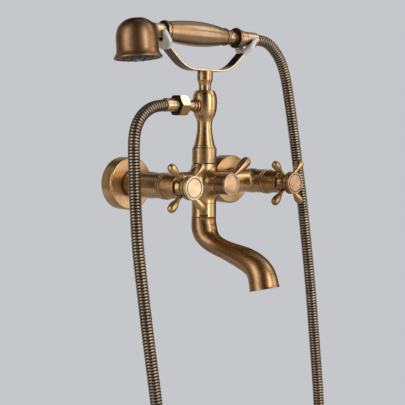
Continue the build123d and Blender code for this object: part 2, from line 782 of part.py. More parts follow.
with BuildPart() as diverter_knob:
    with BuildSketch(out_section(0)):
        with BuildLine():
            Polyline(
                (DIVERTER_SPINDLE_RADIUS + SHAFT_FIT, knob_cavity_out),
                (knob_cavity, knob_cavity_out),
                (knob_cavity, knob_back),
                (knob_radius, knob_back),
                (knob_radius, knob_front - KNOB_GROOVE_SET - KNOB_GROOVE),
                (knob_radius - KNOB_GROOVE, knob_front - KNOB_GROOVE_SET),
                (knob_radius, knob_front - KNOB_GROOVE_SET + KNOB_GROOVE),
                (knob_radius, knob_front),
                (knob_recess, knob_front),
                (knob_recess, knob_floor),
                (SCREW_RADIUS + FIT, knob_floor),
                (SCREW_RADIUS + FIT, diverter_spindle_front),
                (DIVERTER_SPINDLE_RADIUS + SHAFT_FIT, diverter_spindle_front),
                close=True,
            )
        make_face()
    revolve(axis=out_axis(0))
    with BuildSketch(lever_plane):
        with Locations((lever_root, 0)):
            Rectangle(knob_radius, LEVER_ROOT_RADIUS + SHAFT_FIT, align=(Align.MIN, Align.MIN))
    revolve(axis=lever_line, mode=Mode.SUBTRACT)
diverter_knob.part.label = "diverter_knob"
export_step(diverter_knob.part, "parts/diverter_knob.step")

with BuildPart() as diverter_lever:
    with BuildSketch(lever_plane):
        with BuildLine():
            Polyline(
                (lever_root, 0),
                (lever_root, LEVER_ROOT_RADIUS),
                (lever_collar, LEVER_ROOT_RADIUS),
                (lever_collar, LEVER_COLLAR_RADIUS),
                (lever_neck, LEVER_COLLAR_RADIUS),
                (lever_neck, LEVER_NECK_RADIUS),
                (lever_neck + LEVER_NECK, LEVER_NECK_RADIUS),
            )
            Spline(
                (lever_neck + LEVER_NECK, LEVER_NECK_RADIUS),
                (LEVER_REACH - LEVER_TIP, LEVER_BULB_RADIUS),
                (LEVER_REACH, 0),
                tangents=((1, 0), (0, -1)),
            )
            Line((LEVER_REACH, 0), (lever_root, 0))
        make_face()
    revolve(axis=lever_line)
diverter_lever.part.label = "diverter_lever"
export_step(diverter_lever.part, "parts/diverter_lever.step")

with BuildPart() as diverter_screw:
    with BuildSketch(out_plane(0, knob_floor)):
        Circle(SCREW_HEAD_RADIUS)
    extrude(amount=SCREW_HEAD_DEPTH)
    with BuildSketch(out_plane(0, knob_floor)):
        Circle(SCREW_RADIUS)
    extrude(amount=diverter_spindle_front - SCREW_BITE + FIT - knob_floor)
    with BuildSketch(out_plane(0, knob_floor + SCREW_HEAD_DEPTH)):
        RegularPolygon(radius=HEX_KEY_FLATS / 2, side_count=6, major_radius=False)
    extrude(amount=-HEX_KEY_DEPTH, mode=Mode.SUBTRACT)
diverter_screw.part.label = "diverter_screw"
export_step(diverter_screw.part, "parts/diverter_screw.step")

cap_radius = knob_radius + CAP_STEP
cap_front = knob_front + CAP_THICK

with BuildPart() as diverter_cap:
    with BuildSketch(out_section(0)):
        with BuildLine():
            Polyline(
                (0, cap_front - CAP_DISH),
                (0, knob_front - CAP_SPIGOT),
                (knob_recess - FIT, knob_front - CAP_SPIGOT),
                (knob_recess - FIT, knob_front),
                (cap_radius, knob_front),
                (cap_radius, cap_front - BREAK_EDGE),
                (cap_radius - BREAK_EDGE, cap_front),
                (cap_radius - CAP_RIM, cap_front),
            )
            TangentArc((0, cap_front - CAP_DISH), (cap_radius - CAP_RIM, cap_front), tangent=(1, 0))
        make_face()
    revolve(axis=out_axis(0))
diverter_cap.part.label = "diverter_cap"
export_step(diverter_cap.part, "parts/diverter_cap.step")


# Riser: seal, collar nut, turned column and hose outlet

with BuildPart() as riser_seal:
    with BuildSketch(up_plane(HUB_RISE)):
        Circle(SEAL_RADIUS)
        Circle(COLUMN_SPIGOT_RADIUS + FIT, mode=Mode.SUBTRACT)
    extrude(amount=SEAL_THICK)
riser_seal.part.label = "riser_seal"
export_step(riser_seal.part, "parts/riser_seal.step")

with BuildPart() as riser_collar:
    with BuildSketch(up_plane(collar_bottom)):
        Circle(COLLAR_RADIUS)
        Circle(COLUMN_SPIGOT_RADIUS + FIT, mode=Mode.SUBTRACT)
    extrude(amount=COLLAR_HEIGHT)
    chamfer(riser_collar.edges().group_by(Axis.Z)[-1].sort_by(SortBy.RADIUS)[-1], BREAK_EDGE)
    chamfer(riser_collar.edges().group_by(Axis.Z)[0].sort_by(SortBy.RADIUS)[-1], BREAK_EDGE)
riser_collar.part.label = "riser_collar"
export_step(riser_collar.part, "parts/riser_collar.step")

column_run = RISER_TOP - column_base_top
column_outline = [
    (radius_share * COLUMN_RADIUS, column_base_top + height_share * column_run)
    for radius_share, height_share in zip(COLUMN_RADIUS_SHARES, COLUMN_HEIGHT_SHARES)
]

with BuildPart() as riser_column:
    with BuildSketch(up_section):
        with BuildLine():
            Polyline(
                (0, collar_bottom),
                (COLUMN_SPIGOT_RADIUS, collar_bottom),
                (COLUMN_SPIGOT_RADIUS, collar_top),
                (COLUMN_BASE_RADIUS - BREAK_EDGE, collar_top),
                (COLUMN_BASE_RADIUS, collar_top + COLUMN_BASE_HEIGHT / 2),
                (COLUMN_BASE_RADIUS - BREAK_EDGE, column_base_top),
                column_outline[0],
            )
            Spline(*column_outline)
            Polyline(column_outline[-1], (0, RISER_TOP), (0, collar_bottom))
        make_face()
    revolve(axis=up_axis)
    with BuildSketch(up_plane(collar_bottom)):
        Circle(COLUMN_BORE)
    extrude(amount=outlet_height + OUTLET_BORE - collar_bottom, mode=Mode.SUBTRACT)
    with BuildSketch(up_plane(RISER_TOP)):
        Circle(STEM_SPIGOT_RADIUS + FIT)
    extrude(amount=-STEM_SPIGOT_LENGTH - FIT, mode=Mode.SUBTRACT)
    with BuildSketch(along_plane(0, outlet_height)):
        Circle(OUTLET_NECK_RADIUS + SHAFT_FIT)
    extrude(amount=-outlet_ring, mode=Mode.SUBTRACT)
riser_column.part.label = "riser_column"
export_step(riser_column.part, "parts/riser_column.step")

with BuildPart() as hose_outlet:
    with BuildSketch(along_section(outlet_height, -1)):
        with BuildLine():
            Polyline(
                (OUTLET_BORE, outlet_ring - OUTLET_SOCKET),
                (OUTLET_NECK_RADIUS, outlet_ring - OUTLET_SOCKET),
                (OUTLET_NECK_RADIUS, outlet_ring),
                (OUTLET_NECK_RADIUS + OUTLET_RING_STEP, outlet_ring),
                (OUTLET_NECK_RADIUS + OUTLET_RING_STEP, outlet_ring + OUTLET_RING_WIDTH),
                (OUTLET_NECK_RADIUS, outlet_bead),
            )
            ThreePointArc(
                (OUTLET_NECK_RADIUS, outlet_bead),
                (OUTLET_NECK_RADIUS + OUTLET_BEAD_STEP, outlet_bead + OUTLET_BEAD_WIDTH / 2),
                (OUTLET_NECK_RADIUS, outlet_neck),
            )
            Polyline(
                (OUTLET_NECK_RADIUS, outlet_neck),
                (OUTLET_NECK_RADIUS, outlet_thread),
                (OUTLET_THREAD_RADIUS, outlet_thread),
                (OUTLET_THREAD_RADIUS, outlet_end),
                (OUTLET_BORE, outlet_end),
                (OUTLET_BORE, outlet_ring - OUTLET_SOCKET),
            )
        make_face()
    revolve(axis=along_axis(outlet_height))
hose_outlet.part.label = "hose_outlet"
export_step(hose_outlet.part, "parts/hose_outlet.step")

with BuildPart() as hose_hex_nut:
    with BuildSketch(along_plane(-hose_nut_end, outlet_height)):
        RegularPolygon(
            radius=OUTLET_THREAD_RADIUS + FIT + HOSE_NUT_WALL,
            side_count=6,
            major_radius=False,
        )
    extrude(amount=hose_nut_end - hose_nut_start)
    with BuildSketch(along_plane(-hose_nut_lip, outlet_height)):
        Circle(OUTLET_THREAD_RADIUS + FIT)
    extrude(amount=hose_nut_lip - hose_nut_start, mode=Mode.SUBTRACT)
    with BuildSketch(along_plane(-hose_nut_end, outlet_height)):
        Circle(ferrule_radius + SHAFT_FIT)
    extrude(amount=HOSE_NUT_LIP, mode=Mode.SUBTRACT)
hose_hex_nut.part.label = "hose_hex_nut"
export_step(hose_hex_nut.part, "parts/hose_hex_nut.step")

with BuildPart() as hose_washer:
    with BuildSketch(along_plane(-ferrule_collar, outlet_height)):
        Circle(OUTLET_THREAD_RADIUS)
        Circle(HOSE_BORE, mode=Mode.SUBTRACT)
    extrude(amount=HOSE_WASHER)
hose_washer.part.label = "hose_washer"
export_step(hose_washer.part, "parts/hose_washer.step")

with BuildPart() as hose_ferrule:
    with BuildSketch(along_section(outlet_height, -1)):
        with BuildLine():
            Polyline(
                (HOSE_BORE, ferrule_collar),
                (OUTLET_THREAD_RADIUS - RUNNING, ferrule_collar),
                (OUTLET_THREAD_RADIUS - RUNNING, ferrule_neck),
                (ferrule_radius, ferrule_neck),
                (ferrule_radius, ferrule_end),
                (HOSE_BORE, ferrule_end),
                close=True,
            )
        make_face()
    revolve(axis=along_axis(outlet_height))
hose_ferrule.part.label = "hose_ferrule"
export_step(hose_ferrule.part, "parts/hose_ferrule.step")


# Cradle: stem, strap, screw and forks

stem_head_bottom = cradle_height - STEM_HEAD_HEIGHT

with BuildPart() as cradle_stem:
    with BuildSketch(up_section):
        with BuildLine():
            Polyline(
                (0, RISER_TOP - STEM_SPIGOT_LENGTH),
                (STEM_SPIGOT_RADIUS, RISER_TOP - STEM_SPIGOT_LENGTH),
                (STEM_SPIGOT_RADIUS, RISER_TOP),
                (STEM_FOOT_RADIUS, RISER_TOP),
                (STEM_FOOT_RADIUS, RISER_TOP + STEM_FOOT_HEIGHT),
            )
            Spline(
                (STEM_FOOT_RADIUS, RISER_TOP + STEM_FOOT_HEIGHT),
                (STEM_HEAD_RADIUS, stem_head_bottom),
                tangents=((0, 1), (0, 1)),
            )
            Polyline(
                (STEM_HEAD_RADIUS, stem_head_bottom),
                (STEM_HEAD_RADIUS, cradle_height),
                (0, cradle_height),
                (0, RISER_TOP - STEM_SPIGOT_LENGTH),
            )
        make_face()
    revolve(axis=up_axis)
    with BuildSketch(up_plane(cradle_height)):
        Circle(CRADLE_SCREW_RADIUS + SHAFT_FIT)
    extrude(amount=-CRADLE_SCREW_BITE - FIT, mode=Mode.SUBTRACT)
cradle_stem.part.label = "cradle_stem"
export_step(cradle_stem.part, "parts/cradle_stem.step")

with BuildPart() as cradle_strap:
    with BuildSketch(Plane(origin=(0, -BODY_OUT, 0), x_dir=(1, 0, 0), z_dir=(0, -1, 0))):
        with BuildLine():
            FilletPolyline(
                (-arm_end_x, arm_end_z),
                (-strap_corner, cradle_height),
                (strap_corner, cradle_height),
                (arm_end_x, arm_end_z),
                radius=STRAP_BEND,
            )
            offset(amount=STRAP_THICK, side=Side.LEFT)
        make_face()
    extrude(amount=STRAP_WIDTH / 2, both=True)
    with BuildSketch(up_section):
        with BuildLine():
            Polyline(
                (0, cradle_height),
                (CRADLE_SCREW_RADIUS + FIT, cradle_height),
                (CRADLE_SCREW_HEAD + FIT, cradle_height + STRAP_THICK),
                (0, cradle_height + STRAP_THICK),
                close=True,
            )
        make_face()
    revolve(axis=up_axis, mode=Mode.SUBTRACT)
cradle_strap.part.label = "cradle_strap"
export_step(cradle_strap.part, "parts/cradle_strap.step")

with BuildPart() as cradle_screw:
    with BuildSketch(up_section):
        with BuildLine():
            Polyline(
                (0, cradle_height - CRADLE_SCREW_BITE),
                (CRADLE_SCREW_RADIUS, cradle_height - CRADLE_SCREW_BITE),
                (CRADLE_SCREW_RADIUS, cradle_height),
                (CRADLE_SCREW_HEAD, cradle_height + STRAP_THICK),
                (0, cradle_height + STRAP_THICK),
                close=True,
            )
        make_face()
    revolve(axis=up_axis)
    with BuildSketch(up_plane(cradle_height + STRAP_THICK)):
        Rectangle(2 * CRADLE_SCREW_HEAD, CRADLE_SCREW_SLOT)
    extrude(amount=-STRAP_THICK / 2, mode=Mode.SUBTRACT)
cradle_screw.part.label = "cradle_screw"
export_step(cradle_screw.part, "parts/cradle_screw.step")

# Each fork is leaning outwards, with the strap's end in its foot and the handset's neck in its slot
forks = {
    "left": (-1, NECK_RADIUS + RUNNING, HAND_RING_RADIUS + RUNNING, neck_end_x - RUNNING),
    "right": (1, CONE_NECK_RADIUS + RUNNING, CONE_NECK_RADIUS + CONE_STEP + RUNNING, cone_neck_x),
}

for side, (direction, slot_radius, shoulder_radius, shoulder_x) in forks.items():
    fork_top_width = 2 * (slot_radius + FORK_WALL)
    fork_plane = Plane(
        origin=(direction * fork_foot_x, -BODY_OUT, fork_foot_z),
        x_dir=(0, 1, 0),
        z_dir=(math.cos(lean), 0, -direction * math.sin(lean)),
    )
    with BuildPart() as cradle_fork:
        with BuildSketch(fork_plane):
            with BuildLine():
                Polyline(
                    (-FORK_FOOT_WIDTH / 2, -FORK_GRIP),
                    (FORK_FOOT_WIDTH / 2, -FORK_GRIP),
                    (fork_top_width / 2, FORK_SHOULDER - FORK_GRIP),
                    (fork_top_width / 2, fork_height - FORK_GRIP),
                    (-fork_top_width / 2, fork_height - FORK_GRIP),
                    (-fork_top_width / 2, FORK_SHOULDER - FORK_GRIP),
                    close=True,
                )
            make_face()
        extrude(amount=FORK_THICK / 2, both=True)
        with BuildSketch(along_plane(0, handset_height)):
            Circle(slot_radius)
            Rectangle(2 * slot_radius, fork_height, align=(Align.CENTER, Align.MIN))
        extrude(amount=direction * (fork_x + fork_height), mode=Mode.SUBTRACT)
        with BuildSketch(along_plane(0, handset_height)):
            Circle(shoulder_radius)
        extrude(amount=shoulder_x, mode=Mode.SUBTRACT)
        fillet(cradle_fork.edges().filter_by(Axis.Y), FORK_EDGE)
        add(cradle_strap.part, mode=Mode.SUBTRACT)
    cradle_fork.part.label = f"{side}_cradle_fork"
    export_step(cradle_fork.part, f"parts/{side}_cradle_fork.step")


# Spout: fixed collar, set screw, seals, swivelling pipe and aerator

with BuildPart() as spout_collar:
    with BuildSketch(up_plane(spout_collar_bottom)):
        Circle(SPOUT_RADIUS)
        Circle(HUB_BORE, mode=Mode.SUBTRACT)
    extrude(amount=hub_bottom - spout_collar_bottom)
    chamfer(spout_collar.edges().group_by(Axis.Z)[0].sort_by(SortBy.RADIUS)[-1], BREAK_EDGE)
    with BuildSketch(up_plane(spout_collar_bottom)):
        Circle(shank_radius + SHAFT_FIT)
    extrude(amount=collar_seat - spout_collar_bottom, mode=Mode.SUBTRACT)
    notch_turn = math.radians(NOTCH_ANGLE)
    notch_plane = Plane(
        origin=(0, -BODY_OUT, spout_collar_bottom + NOTCH_UP),
        x_dir=(-math.sin(notch_turn), math.cos(notch_turn), 0),
        z_dir=(math.cos(notch_turn), math.sin(notch_turn), 0),
    )
    with BuildSketch(notch_plane.offset(SPOUT_RADIUS - NOTCH_DEPTH)):
        Rectangle(NOTCH_WIDTH, NOTCH_HEIGHT, align=(Align.CENTER, Align.MIN))
    extrude(amount=SPOUT_RADIUS, mode=Mode.SUBTRACT)
    screw_turn = math.radians(SET_SCREW_ANGLE)
    screw_plane = Plane(
        origin=(0, -BODY_OUT, set_screw_z),
        x_dir=(-math.sin(screw_turn), math.cos(screw_turn), 0),
        z_dir=(math.cos(screw_turn), math.sin(screw_turn), 0),
    )
    with BuildSketch(screw_plane):
        Circle(SET_SCREW_RADIUS + SHAFT_FIT)
    extrude(amount=SPOUT_RADIUS, mode=Mode.SUBTRACT)
spout_collar.part.label = "spout_collar"
export_step(spout_collar.part, "parts/spout_collar.step")

with BuildPart() as spout_set_screw:
    with BuildSketch(screw_plane.offset(shank_radius - RING_DEPTH + 2 * FIT)):
        Circle(SET_SCREW_RADIUS)
    extrude(amount=SET_SCREW_LENGTH)
    with BuildSketch(screw_plane.offset(shank_radius - RING_DEPTH + 2 * FIT + SET_SCREW_LENGTH)):
        RegularPolygon(radius=SET_SCREW_RADIUS / 2, side_count=6, major_radius=False)
    extrude(amount=-SET_SCREW_LENGTH / 2, mode=Mode.SUBTRACT)
spout_set_screw.part.label = "spout_set_screw"
export_step(spout_set_screw.part, "parts/spout_set_screw.step")

ring_bottoms = [shank_groove_top + RING_LAND, shank_groove_top + RING_LAND + ring_step]

with BuildPart() as spout_o_rings:
    for ring_bottom in ring_bottoms:
        with BuildSketch(up_plane(ring_bottom + FIT)):
            Circle(shank_radius)
            Circle(shank_radius - RING_DEPTH + FIT, mode=Mode.SUBTRACT)
        extrude(amount=RING_WIDTH - 2 * FIT)
spout_o_rings.part.label = "spout_o_rings"
export_step(spout_o_rings.part, "parts/spout_o_rings.step")

with BuildLine():
    spout_path = FilletPolyline(
        (0, -BODY_OUT, spout_top),
        (0, -BODY_OUT, neck_corner_z),
        (0, -elbow_out, elbow_z),
        (0, -BODY_OUT - SPOUT_REACH, spout_end_z),
        radius=[SPOUT_FIRST_BEND, SPOUT_SECOND_BEND],
    )
spout_radii = [
    SPOUT_ELBOW_RADIUS
    + pipe_share * (SPOUT_PIPE_RADIUS - SPOUT_ELBOW_RADIUS)
    + lip_share * (SPOUT_LIP_RADIUS - SPOUT_ELBOW_RADIUS)
    for pipe_share, lip_share in zip(SPOUT_PIPE_SHARES, SPOUT_LIP_SHARES)
]
shank_bore = shank_radius - RING_DEPTH - SPOUT_WALL
bore_radii = [shank_bore, shank_bore]
for pipe_share in SPOUT_PIPE_SHARES[2:]:
    bore_radii.append(
        SPOUT_ELBOW_RADIUS + pipe_share * (SPOUT_PIPE_RADIUS - SPOUT_ELBOW_RADIUS) - SPOUT_WALL
    )
outlet_plane = Plane(origin=spout_path @ 1, x_dir=(1, 0, 0), z_dir=-(spout_path % 1))

with BuildPart() as spout:
    for share, radius in zip(SPOUT_STATION_SHARES, spout_radii):
        with BuildSketch(Plane(origin=spout_path @ share, x_dir=(1, 0, 0), z_dir=spout_path % share)):
            Circle(radius)
    loft()
    with BuildSketch(up_plane(spout_top)):
        Circle(shank_radius)
    extrude(amount=shank_top - spout_top)
    for share, radius in zip(SPOUT_STATION_SHARES, bore_radii):
        with BuildSketch(Plane(origin=spout_path @ share, x_dir=(1, 0, 0), z_dir=spout_path % share)):
            Circle(radius)
    loft(mode=Mode.SUBTRACT)
    with BuildSketch(up_plane(spout_top)):
        Circle(shank_bore)
    extrude(amount=shank_top - spout_top, mode=Mode.SUBTRACT)
    with BuildSketch(outlet_plane):
        Circle(AERATOR_RADIUS + SHAFT_FIT)
    extrude(amount=AERATOR_RECESS + AERATOR_DEPTH, mode=Mode.SUBTRACT)
    groove_bottom = set_screw_z - SET_SCREW_RADIUS - RUNNING
    with BuildSketch(up_plane(groove_bottom)):
        Circle(SPOUT_RADIUS)
        Circle(shank_radius - RING_DEPTH, mode=Mode.SUBTRACT)
    extrude(amount=shank_groove_top - groove_bottom, mode=Mode.SUBTRACT)
    for ring_bottom in ring_bottoms:
        with BuildSketch(up_plane(ring_bottom)):
            Circle(SPOUT_RADIUS)
            Circle(shank_radius - RING_DEPTH, mode=Mode.SUBTRACT)
        extrude(amount=RING_WIDTH, mode=Mode.SUBTRACT)
spout.part.label = "spout"
export_step(spout.part, "parts/spout.step")

with BuildPart() as aerator_housing:
    with BuildSketch(outlet_plane.offset(AERATOR_RECESS)):
        Circle(AERATOR_RADIUS)
        Circle(AERATOR_RADIUS - AERATOR_WALL, mode=Mode.SUBTRACT)
    extrude(amount=AERATOR_DEPTH)
aerator_housing.part.label = "aerator_housing"
export_step(aerator_housing.part, "parts/aerator_housing.step")

with BuildPart() as aerator_plate:
    with BuildSketch(outlet_plane.offset(AERATOR_RECESS + AERATOR_PLATE)):
        Circle(AERATOR_RADIUS - AERATOR_WALL)
        Circle(AERATOR_HOLE, mode=Mode.SUBTRACT)
        with PolarLocations(AERATOR_PITCH, AERATOR_HOLE_COUNT):
            Circle(AERATOR_HOLE, mode=Mode.SUBTRACT)
        with PolarLocations(AERATOR_PITCH / 2, AERATOR_HOLE_COUNT // 2):
            Circle(AERATOR_HOLE, mode=Mode.SUBTRACT)
    extrude(amount=AERATOR_PLATE)
aerator_plate.part.label = "aerator_plate"
export_step(aerator_plate.part, "parts/aerator_plate.step")


# Handset: head, spray plate, nozzles, neck, ring, grip, tube, end ring, end fitting and cone nut

head_up = (-math.sin(head_tilt), 0, math.cos(head_tilt))
head_across = (math.cos(head_tilt), 0, math.sin(head_tilt))
head_section = Plane(origin=(head_x, -BODY_OUT, head_z), x_dir=head_across, z_dir=(0, -1, 0))
head_plane = Plane(origin=(head_x, -BODY_OUT, head_z), x_dir=head_across, z_dir=head_up)
head_axis = Axis((head_x, -BODY_OUT, head_z), head_up)
crown_rise = HEAD_HEIGHT - HEAD_SHOULDER_HEIGHT
crown_radius = HEAD_CROWN_SHARES[0] * HEAD_RADIUS
crown_height = HEAD_SHOULDER_HEIGHT + HEAD_CROWN_SHARES[1] * crown_rise

with BuildPart() as head_hull:
    with BuildSketch(head_section):
        with BuildLine():
            Polyline((0, 0), (head_rim, 0), (head_rim, HEAD_RIM_THICK))
            Spline(
                (head_rim, HEAD_RIM_THICK),
                (HEAD_RADIUS, HEAD_FLARE_HEIGHT),
                tangents=((-1, 1), (0, 1)),
            )
            Line((HEAD_RADIUS, HEAD_FLARE_HEIGHT), (HEAD_RADIUS, HEAD_SHOULDER_HEIGHT))
            Spline(
                (HEAD_RADIUS, HEAD_SHOULDER_HEIGHT),
                (crown_radius, crown_height),
                (0, HEAD_HEIGHT),
                tangents=((0, 1), (-1, 0)),
            )
            Line((0, HEAD_HEIGHT), (0, 0))
        make_face()
    revolve(axis=head_axis)

with BuildPart() as handset_head:
    add(head_hull.part)
    with BuildSketch(head_plane):
        Circle(plate_radius + SHAFT_FIT)
    extrude(amount=PLATE_RECESS + PLATE_THICK, mode=Mode.SUBTRACT)
    with BuildSketch(head_section):
        with BuildLine():
            Polyline(
                (0, PLATE_RECESS),
                (HEAD_RADIUS - HEAD_WALL, PLATE_RECESS),
                (HEAD_RADIUS - HEAD_WALL, HEAD_SHOULDER_HEIGHT),
            )
            Spline(
                (HEAD_RADIUS - HEAD_WALL, HEAD_SHOULDER_HEIGHT),
                (crown_radius - HEAD_WALL, crown_height - HEAD_WALL / 2),
                (0, HEAD_HEIGHT - HEAD_WALL),
                tangents=((0, 1), (-1, 0)),
            )
            Line((0, HEAD_HEIGHT - HEAD_WALL), (0, PLATE_RECESS))
        make_face()
    revolve(axis=head_axis, mode=Mode.SUBTRACT)
    with BuildSketch(along_plane(head_x, handset_height)):
        Circle(TUBE_BORE)
    extrude(amount=HEAD_OFFSET, mode=Mode.SUBTRACT)
handset_head.part.label = "handset_head"
export_step(handset_head.part, "parts/handset_head.step")

nozzle_rings = [
    (NOZZLE_PITCH * ring, NOZZLE_FIRST_COUNT * ring) for ring in range(1, NOZZLE_RING_COUNT + 1)
]

with BuildPart() as spray_plate:
    with BuildSketch(head_plane.offset(PLATE_RECESS)):
        Circle(plate_radius)
    extrude(amount=PLATE_THICK)
    with BuildSketch(head_plane.offset(PLATE_RECESS)):
        Circle(plate_radius - PLATE_RIM)
    extrude(amount=PLATE_DISH, mode=Mode.SUBTRACT)
    with BuildSketch(head_plane.offset(PLATE_RECESS)):
        Circle(PLATE_SCREW_RADIUS + SHAFT_FIT)
        for ring_radius, nozzle_count in nozzle_rings:
            with PolarLocations(ring_radius, nozzle_count):
                Circle(NOZZLE_RADIUS + SHAFT_FIT)
    extrude(amount=PLATE_THICK, mode=Mode.SUBTRACT)
spray_plate.part.label = "spray_plate"
export_step(spray_plate.part, "parts/spray_plate.step")

with BuildPart() as spray_nozzles:
    with BuildSketch(head_plane.offset(PLATE_RECESS + PLATE_DISH)):
        for ring_radius, nozzle_count in nozzle_rings:
            with PolarLocations(ring_radius, nozzle_count):
                Circle(NOZZLE_RADIUS)
    extrude(amount=PLATE_THICK - PLATE_DISH)
    with BuildSketch(head_plane.offset(PLATE_RECESS + PLATE_DISH)):
        for ring_radius, nozzle_count in nozzle_rings:
            with PolarLocations(ring_radius, nozzle_count):
                Circle(NOZZLE_TIP_RADIUS)
    extrude(amount=-NOZZLE_STAND)
spray_nozzles.part.label = "spray_nozzles"
export_step(spray_nozzles.part, "parts/spray_nozzles.step")

with BuildPart() as spray_plate_screw:
    with BuildSketch(head_plane.offset(PLATE_RECESS + PLATE_DISH)):
        Circle(PLATE_SCREW_RADIUS)
    extrude(amount=PLATE_SCREW_LENGTH)
    with BuildSketch(head_plane.offset(PLATE_RECESS + PLATE_DISH)):
        Circle(PLATE_SCREW_HEAD)
    extrude(amount=-PLATE_SCREW_HEAD_DEPTH)
    with BuildSketch(head_plane.offset(PLATE_RECESS + PLATE_DISH - PLATE_SCREW_HEAD_DEPTH)):
        Rectangle(2 * PLATE_SCREW_HEAD, PLATE_SCREW_HEAD_DEPTH / 2)
    extrude(amount=PLATE_SCREW_HEAD_DEPTH / 2, mode=Mode.SUBTRACT)
spray_plate_screw.part.label = "spray_plate_screw"
export_step(spray_plate_screw.part, "parts/spray_plate_screw.step")

hand_section = along_section(handset_height, 1)
hand_axis = along_axis(handset_height)

with BuildPart() as handset_neck:
    with BuildSketch(hand_section):
        with BuildLine():
            Polyline((0, neck_root_x), (NECK_ROOT_RADIUS, neck_root_x))
            Spline(
                (NECK_ROOT_RADIUS, neck_root_x),
                (NECK_RADIUS, neck_waist_x),
                tangents=((-1, 1), (0, 1)),
            )
            Polyline(
                (NECK_RADIUS, neck_waist_x),
                (NECK_RADIUS, neck_end_x),
                (0, neck_end_x),
                (0, neck_root_x),
            )
        make_face()
    revolve(axis=hand_axis)
    add(head_hull.part, mode=Mode.SUBTRACT)
    with BuildSketch(along_plane(neck_root_x, handset_height)):
        Circle(TUBE_BORE)
    extrude(amount=neck_end_x - neck_root_x, mode=Mode.SUBTRACT)
    with BuildSketch(along_plane(neck_end_x, handset_height)):
        Circle(TUBE_RADIUS + SHAFT_FIT)
    extrude(amount=-TUBE_SOCKET, mode=Mode.SUBTRACT)
handset_neck.part.label = "handset_neck"
export_step(handset_neck.part, "parts/handset_neck.step")

with BuildPart() as handset_collar:
    with BuildSketch(along_plane(neck_end_x, handset_height)):
        Circle(HAND_RING_RADIUS)
    extrude(amount=HAND_RING_WIDTH)
    fillet(handset_collar.edges().filter_by(GeomType.CIRCLE), HAND_RING_EDGE)
    with BuildSketch(along_plane(neck_end_x, handset_height)):
        Circle(TUBE_RADIUS + SHAFT_FIT)
    extrude(amount=HAND_RING_WIDTH, mode=Mode.SUBTRACT)
handset_collar.part.label = "handset_collar"
export_step(handset_collar.part, "parts/handset_collar.step")

with BuildPart() as handset_grip:
    with BuildSketch(hand_section):
        with BuildLine():
            Polyline(
                (TUBE_RADIUS + SHAFT_FIT, grip_start_x),
                (GRIP_START_RADIUS - GRIP_EDGE, grip_start_x),
                (GRIP_START_RADIUS, grip_start_x + GRIP_EDGE),
            )
            Spline(
                (GRIP_START_RADIUS, grip_start_x + GRIP_EDGE),
                (GRIP_BELLY_RADIUS, grip_belly_x),
                (GRIP_END_RADIUS, grip_end_x),
            )
            Polyline(
                (GRIP_END_RADIUS, grip_end_x),
                (TUBE_RADIUS + SHAFT_FIT, grip_end_x),
                (TUBE_RADIUS + SHAFT_FIT, grip_start_x),
            )
        make_face()
    revolve(axis=hand_axis)
handset_grip.part.label = "handset_grip"
export_step(handset_grip.part, "parts/handset_grip.step")

with BuildPart() as handset_tube:
    with BuildSketch(along_plane(neck_end_x - TUBE_SOCKET, handset_height)):
        Circle(TUBE_RADIUS)
        Circle(TUBE_BORE, mode=Mode.SUBTRACT)
    extrude(amount=end_ring_x - neck_end_x + 2 * TUBE_SOCKET)
handset_tube.part.label = "handset_tube"
export_step(handset_tube.part, "parts/handset_tube.step")

with BuildPart() as handset_end_ring:
    with BuildSketch(along_plane(grip_end_x, handset_height)):
        Circle(END_RING_RADIUS)
    extrude(amount=END_RING_WIDTH)
    fillet(handset_end_ring.edges().filter_by(GeomType.CIRCLE), GRIP_EDGE)
    with BuildSketch(along_plane(grip_end_x, handset_height)):
        Circle(TUBE_RADIUS + SHAFT_FIT)
    extrude(amount=END_RING_WIDTH, mode=Mode.SUBTRACT)
handset_end_ring.part.label = "handset_end_ring"
export_step(handset_end_ring.part, "parts/handset_end_ring.step")

ball_edge = BALL_RADIUS - BALL_STEP

with BuildPart() as handset_end_fitting:
    with BuildSketch(hand_section):
        with BuildLine():
            Polyline(
                (TUBE_BORE, end_ring_x),
                (END_NECK_RADIUS, end_ring_x),
                (END_NECK_RADIUS, end_neck_x),
                (ball_edge, end_neck_x),
            )
            ThreePointArc((ball_edge, end_neck_x), (BALL_RADIUS, ball_x), (ball_edge, ball_end_x))
            Polyline(
                (ball_edge, ball_end_x),
                (END_THREAD_RADIUS, ball_end_x),
                (END_THREAD_RADIUS, ball_end_x + END_THREAD_LENGTH),
                (TUBE_BORE, ball_end_x + END_THREAD_LENGTH),
                (TUBE_BORE, end_ring_x),
            )
        make_face()
    revolve(axis=hand_axis)
    with BuildSketch(along_plane(end_ring_x, handset_height)):
        Circle(TUBE_RADIUS + SHAFT_FIT)
    extrude(amount=TUBE_SOCKET, mode=Mode.SUBTRACT)
handset_end_fitting.part.label = "handset_end_fitting"
export_step(handset_end_fitting.part, "parts/handset_end_fitting.step")

with BuildPart() as hose_cone_nut:
    with BuildSketch(hand_section):
        with BuildLine():
            Polyline(
                (0, cone_start_x),
                (CONE_NECK_RADIUS + CONE_STEP, cone_start_x),
                (CONE_NECK_RADIUS, cone_neck_x),
                (CONE_NECK_RADIUS, cone_end_x),
                (CONE_NECK_RADIUS - CONE_TIP_STEP, cone_tip_x - BREAK_EDGE),
                (CONE_NECK_RADIUS - CONE_TIP_STEP - BREAK_EDGE, cone_tip_x),
                (0, cone_tip_x),
                close=True,
            )
        make_face()
    revolve(axis=hand_axis)
    with BuildSketch(along_plane(cone_start_x, handset_height)):
        Circle(END_THREAD_RADIUS + FIT)
    extrude(amount=END_THREAD_LENGTH + FIT, mode=Mode.SUBTRACT)
    with BuildSketch(along_plane(cone_start_x, handset_height)):
        Circle(HOSE_BORE)
    extrude(amount=cone_tip_x - cone_start_x, mode=Mode.SUBTRACT)
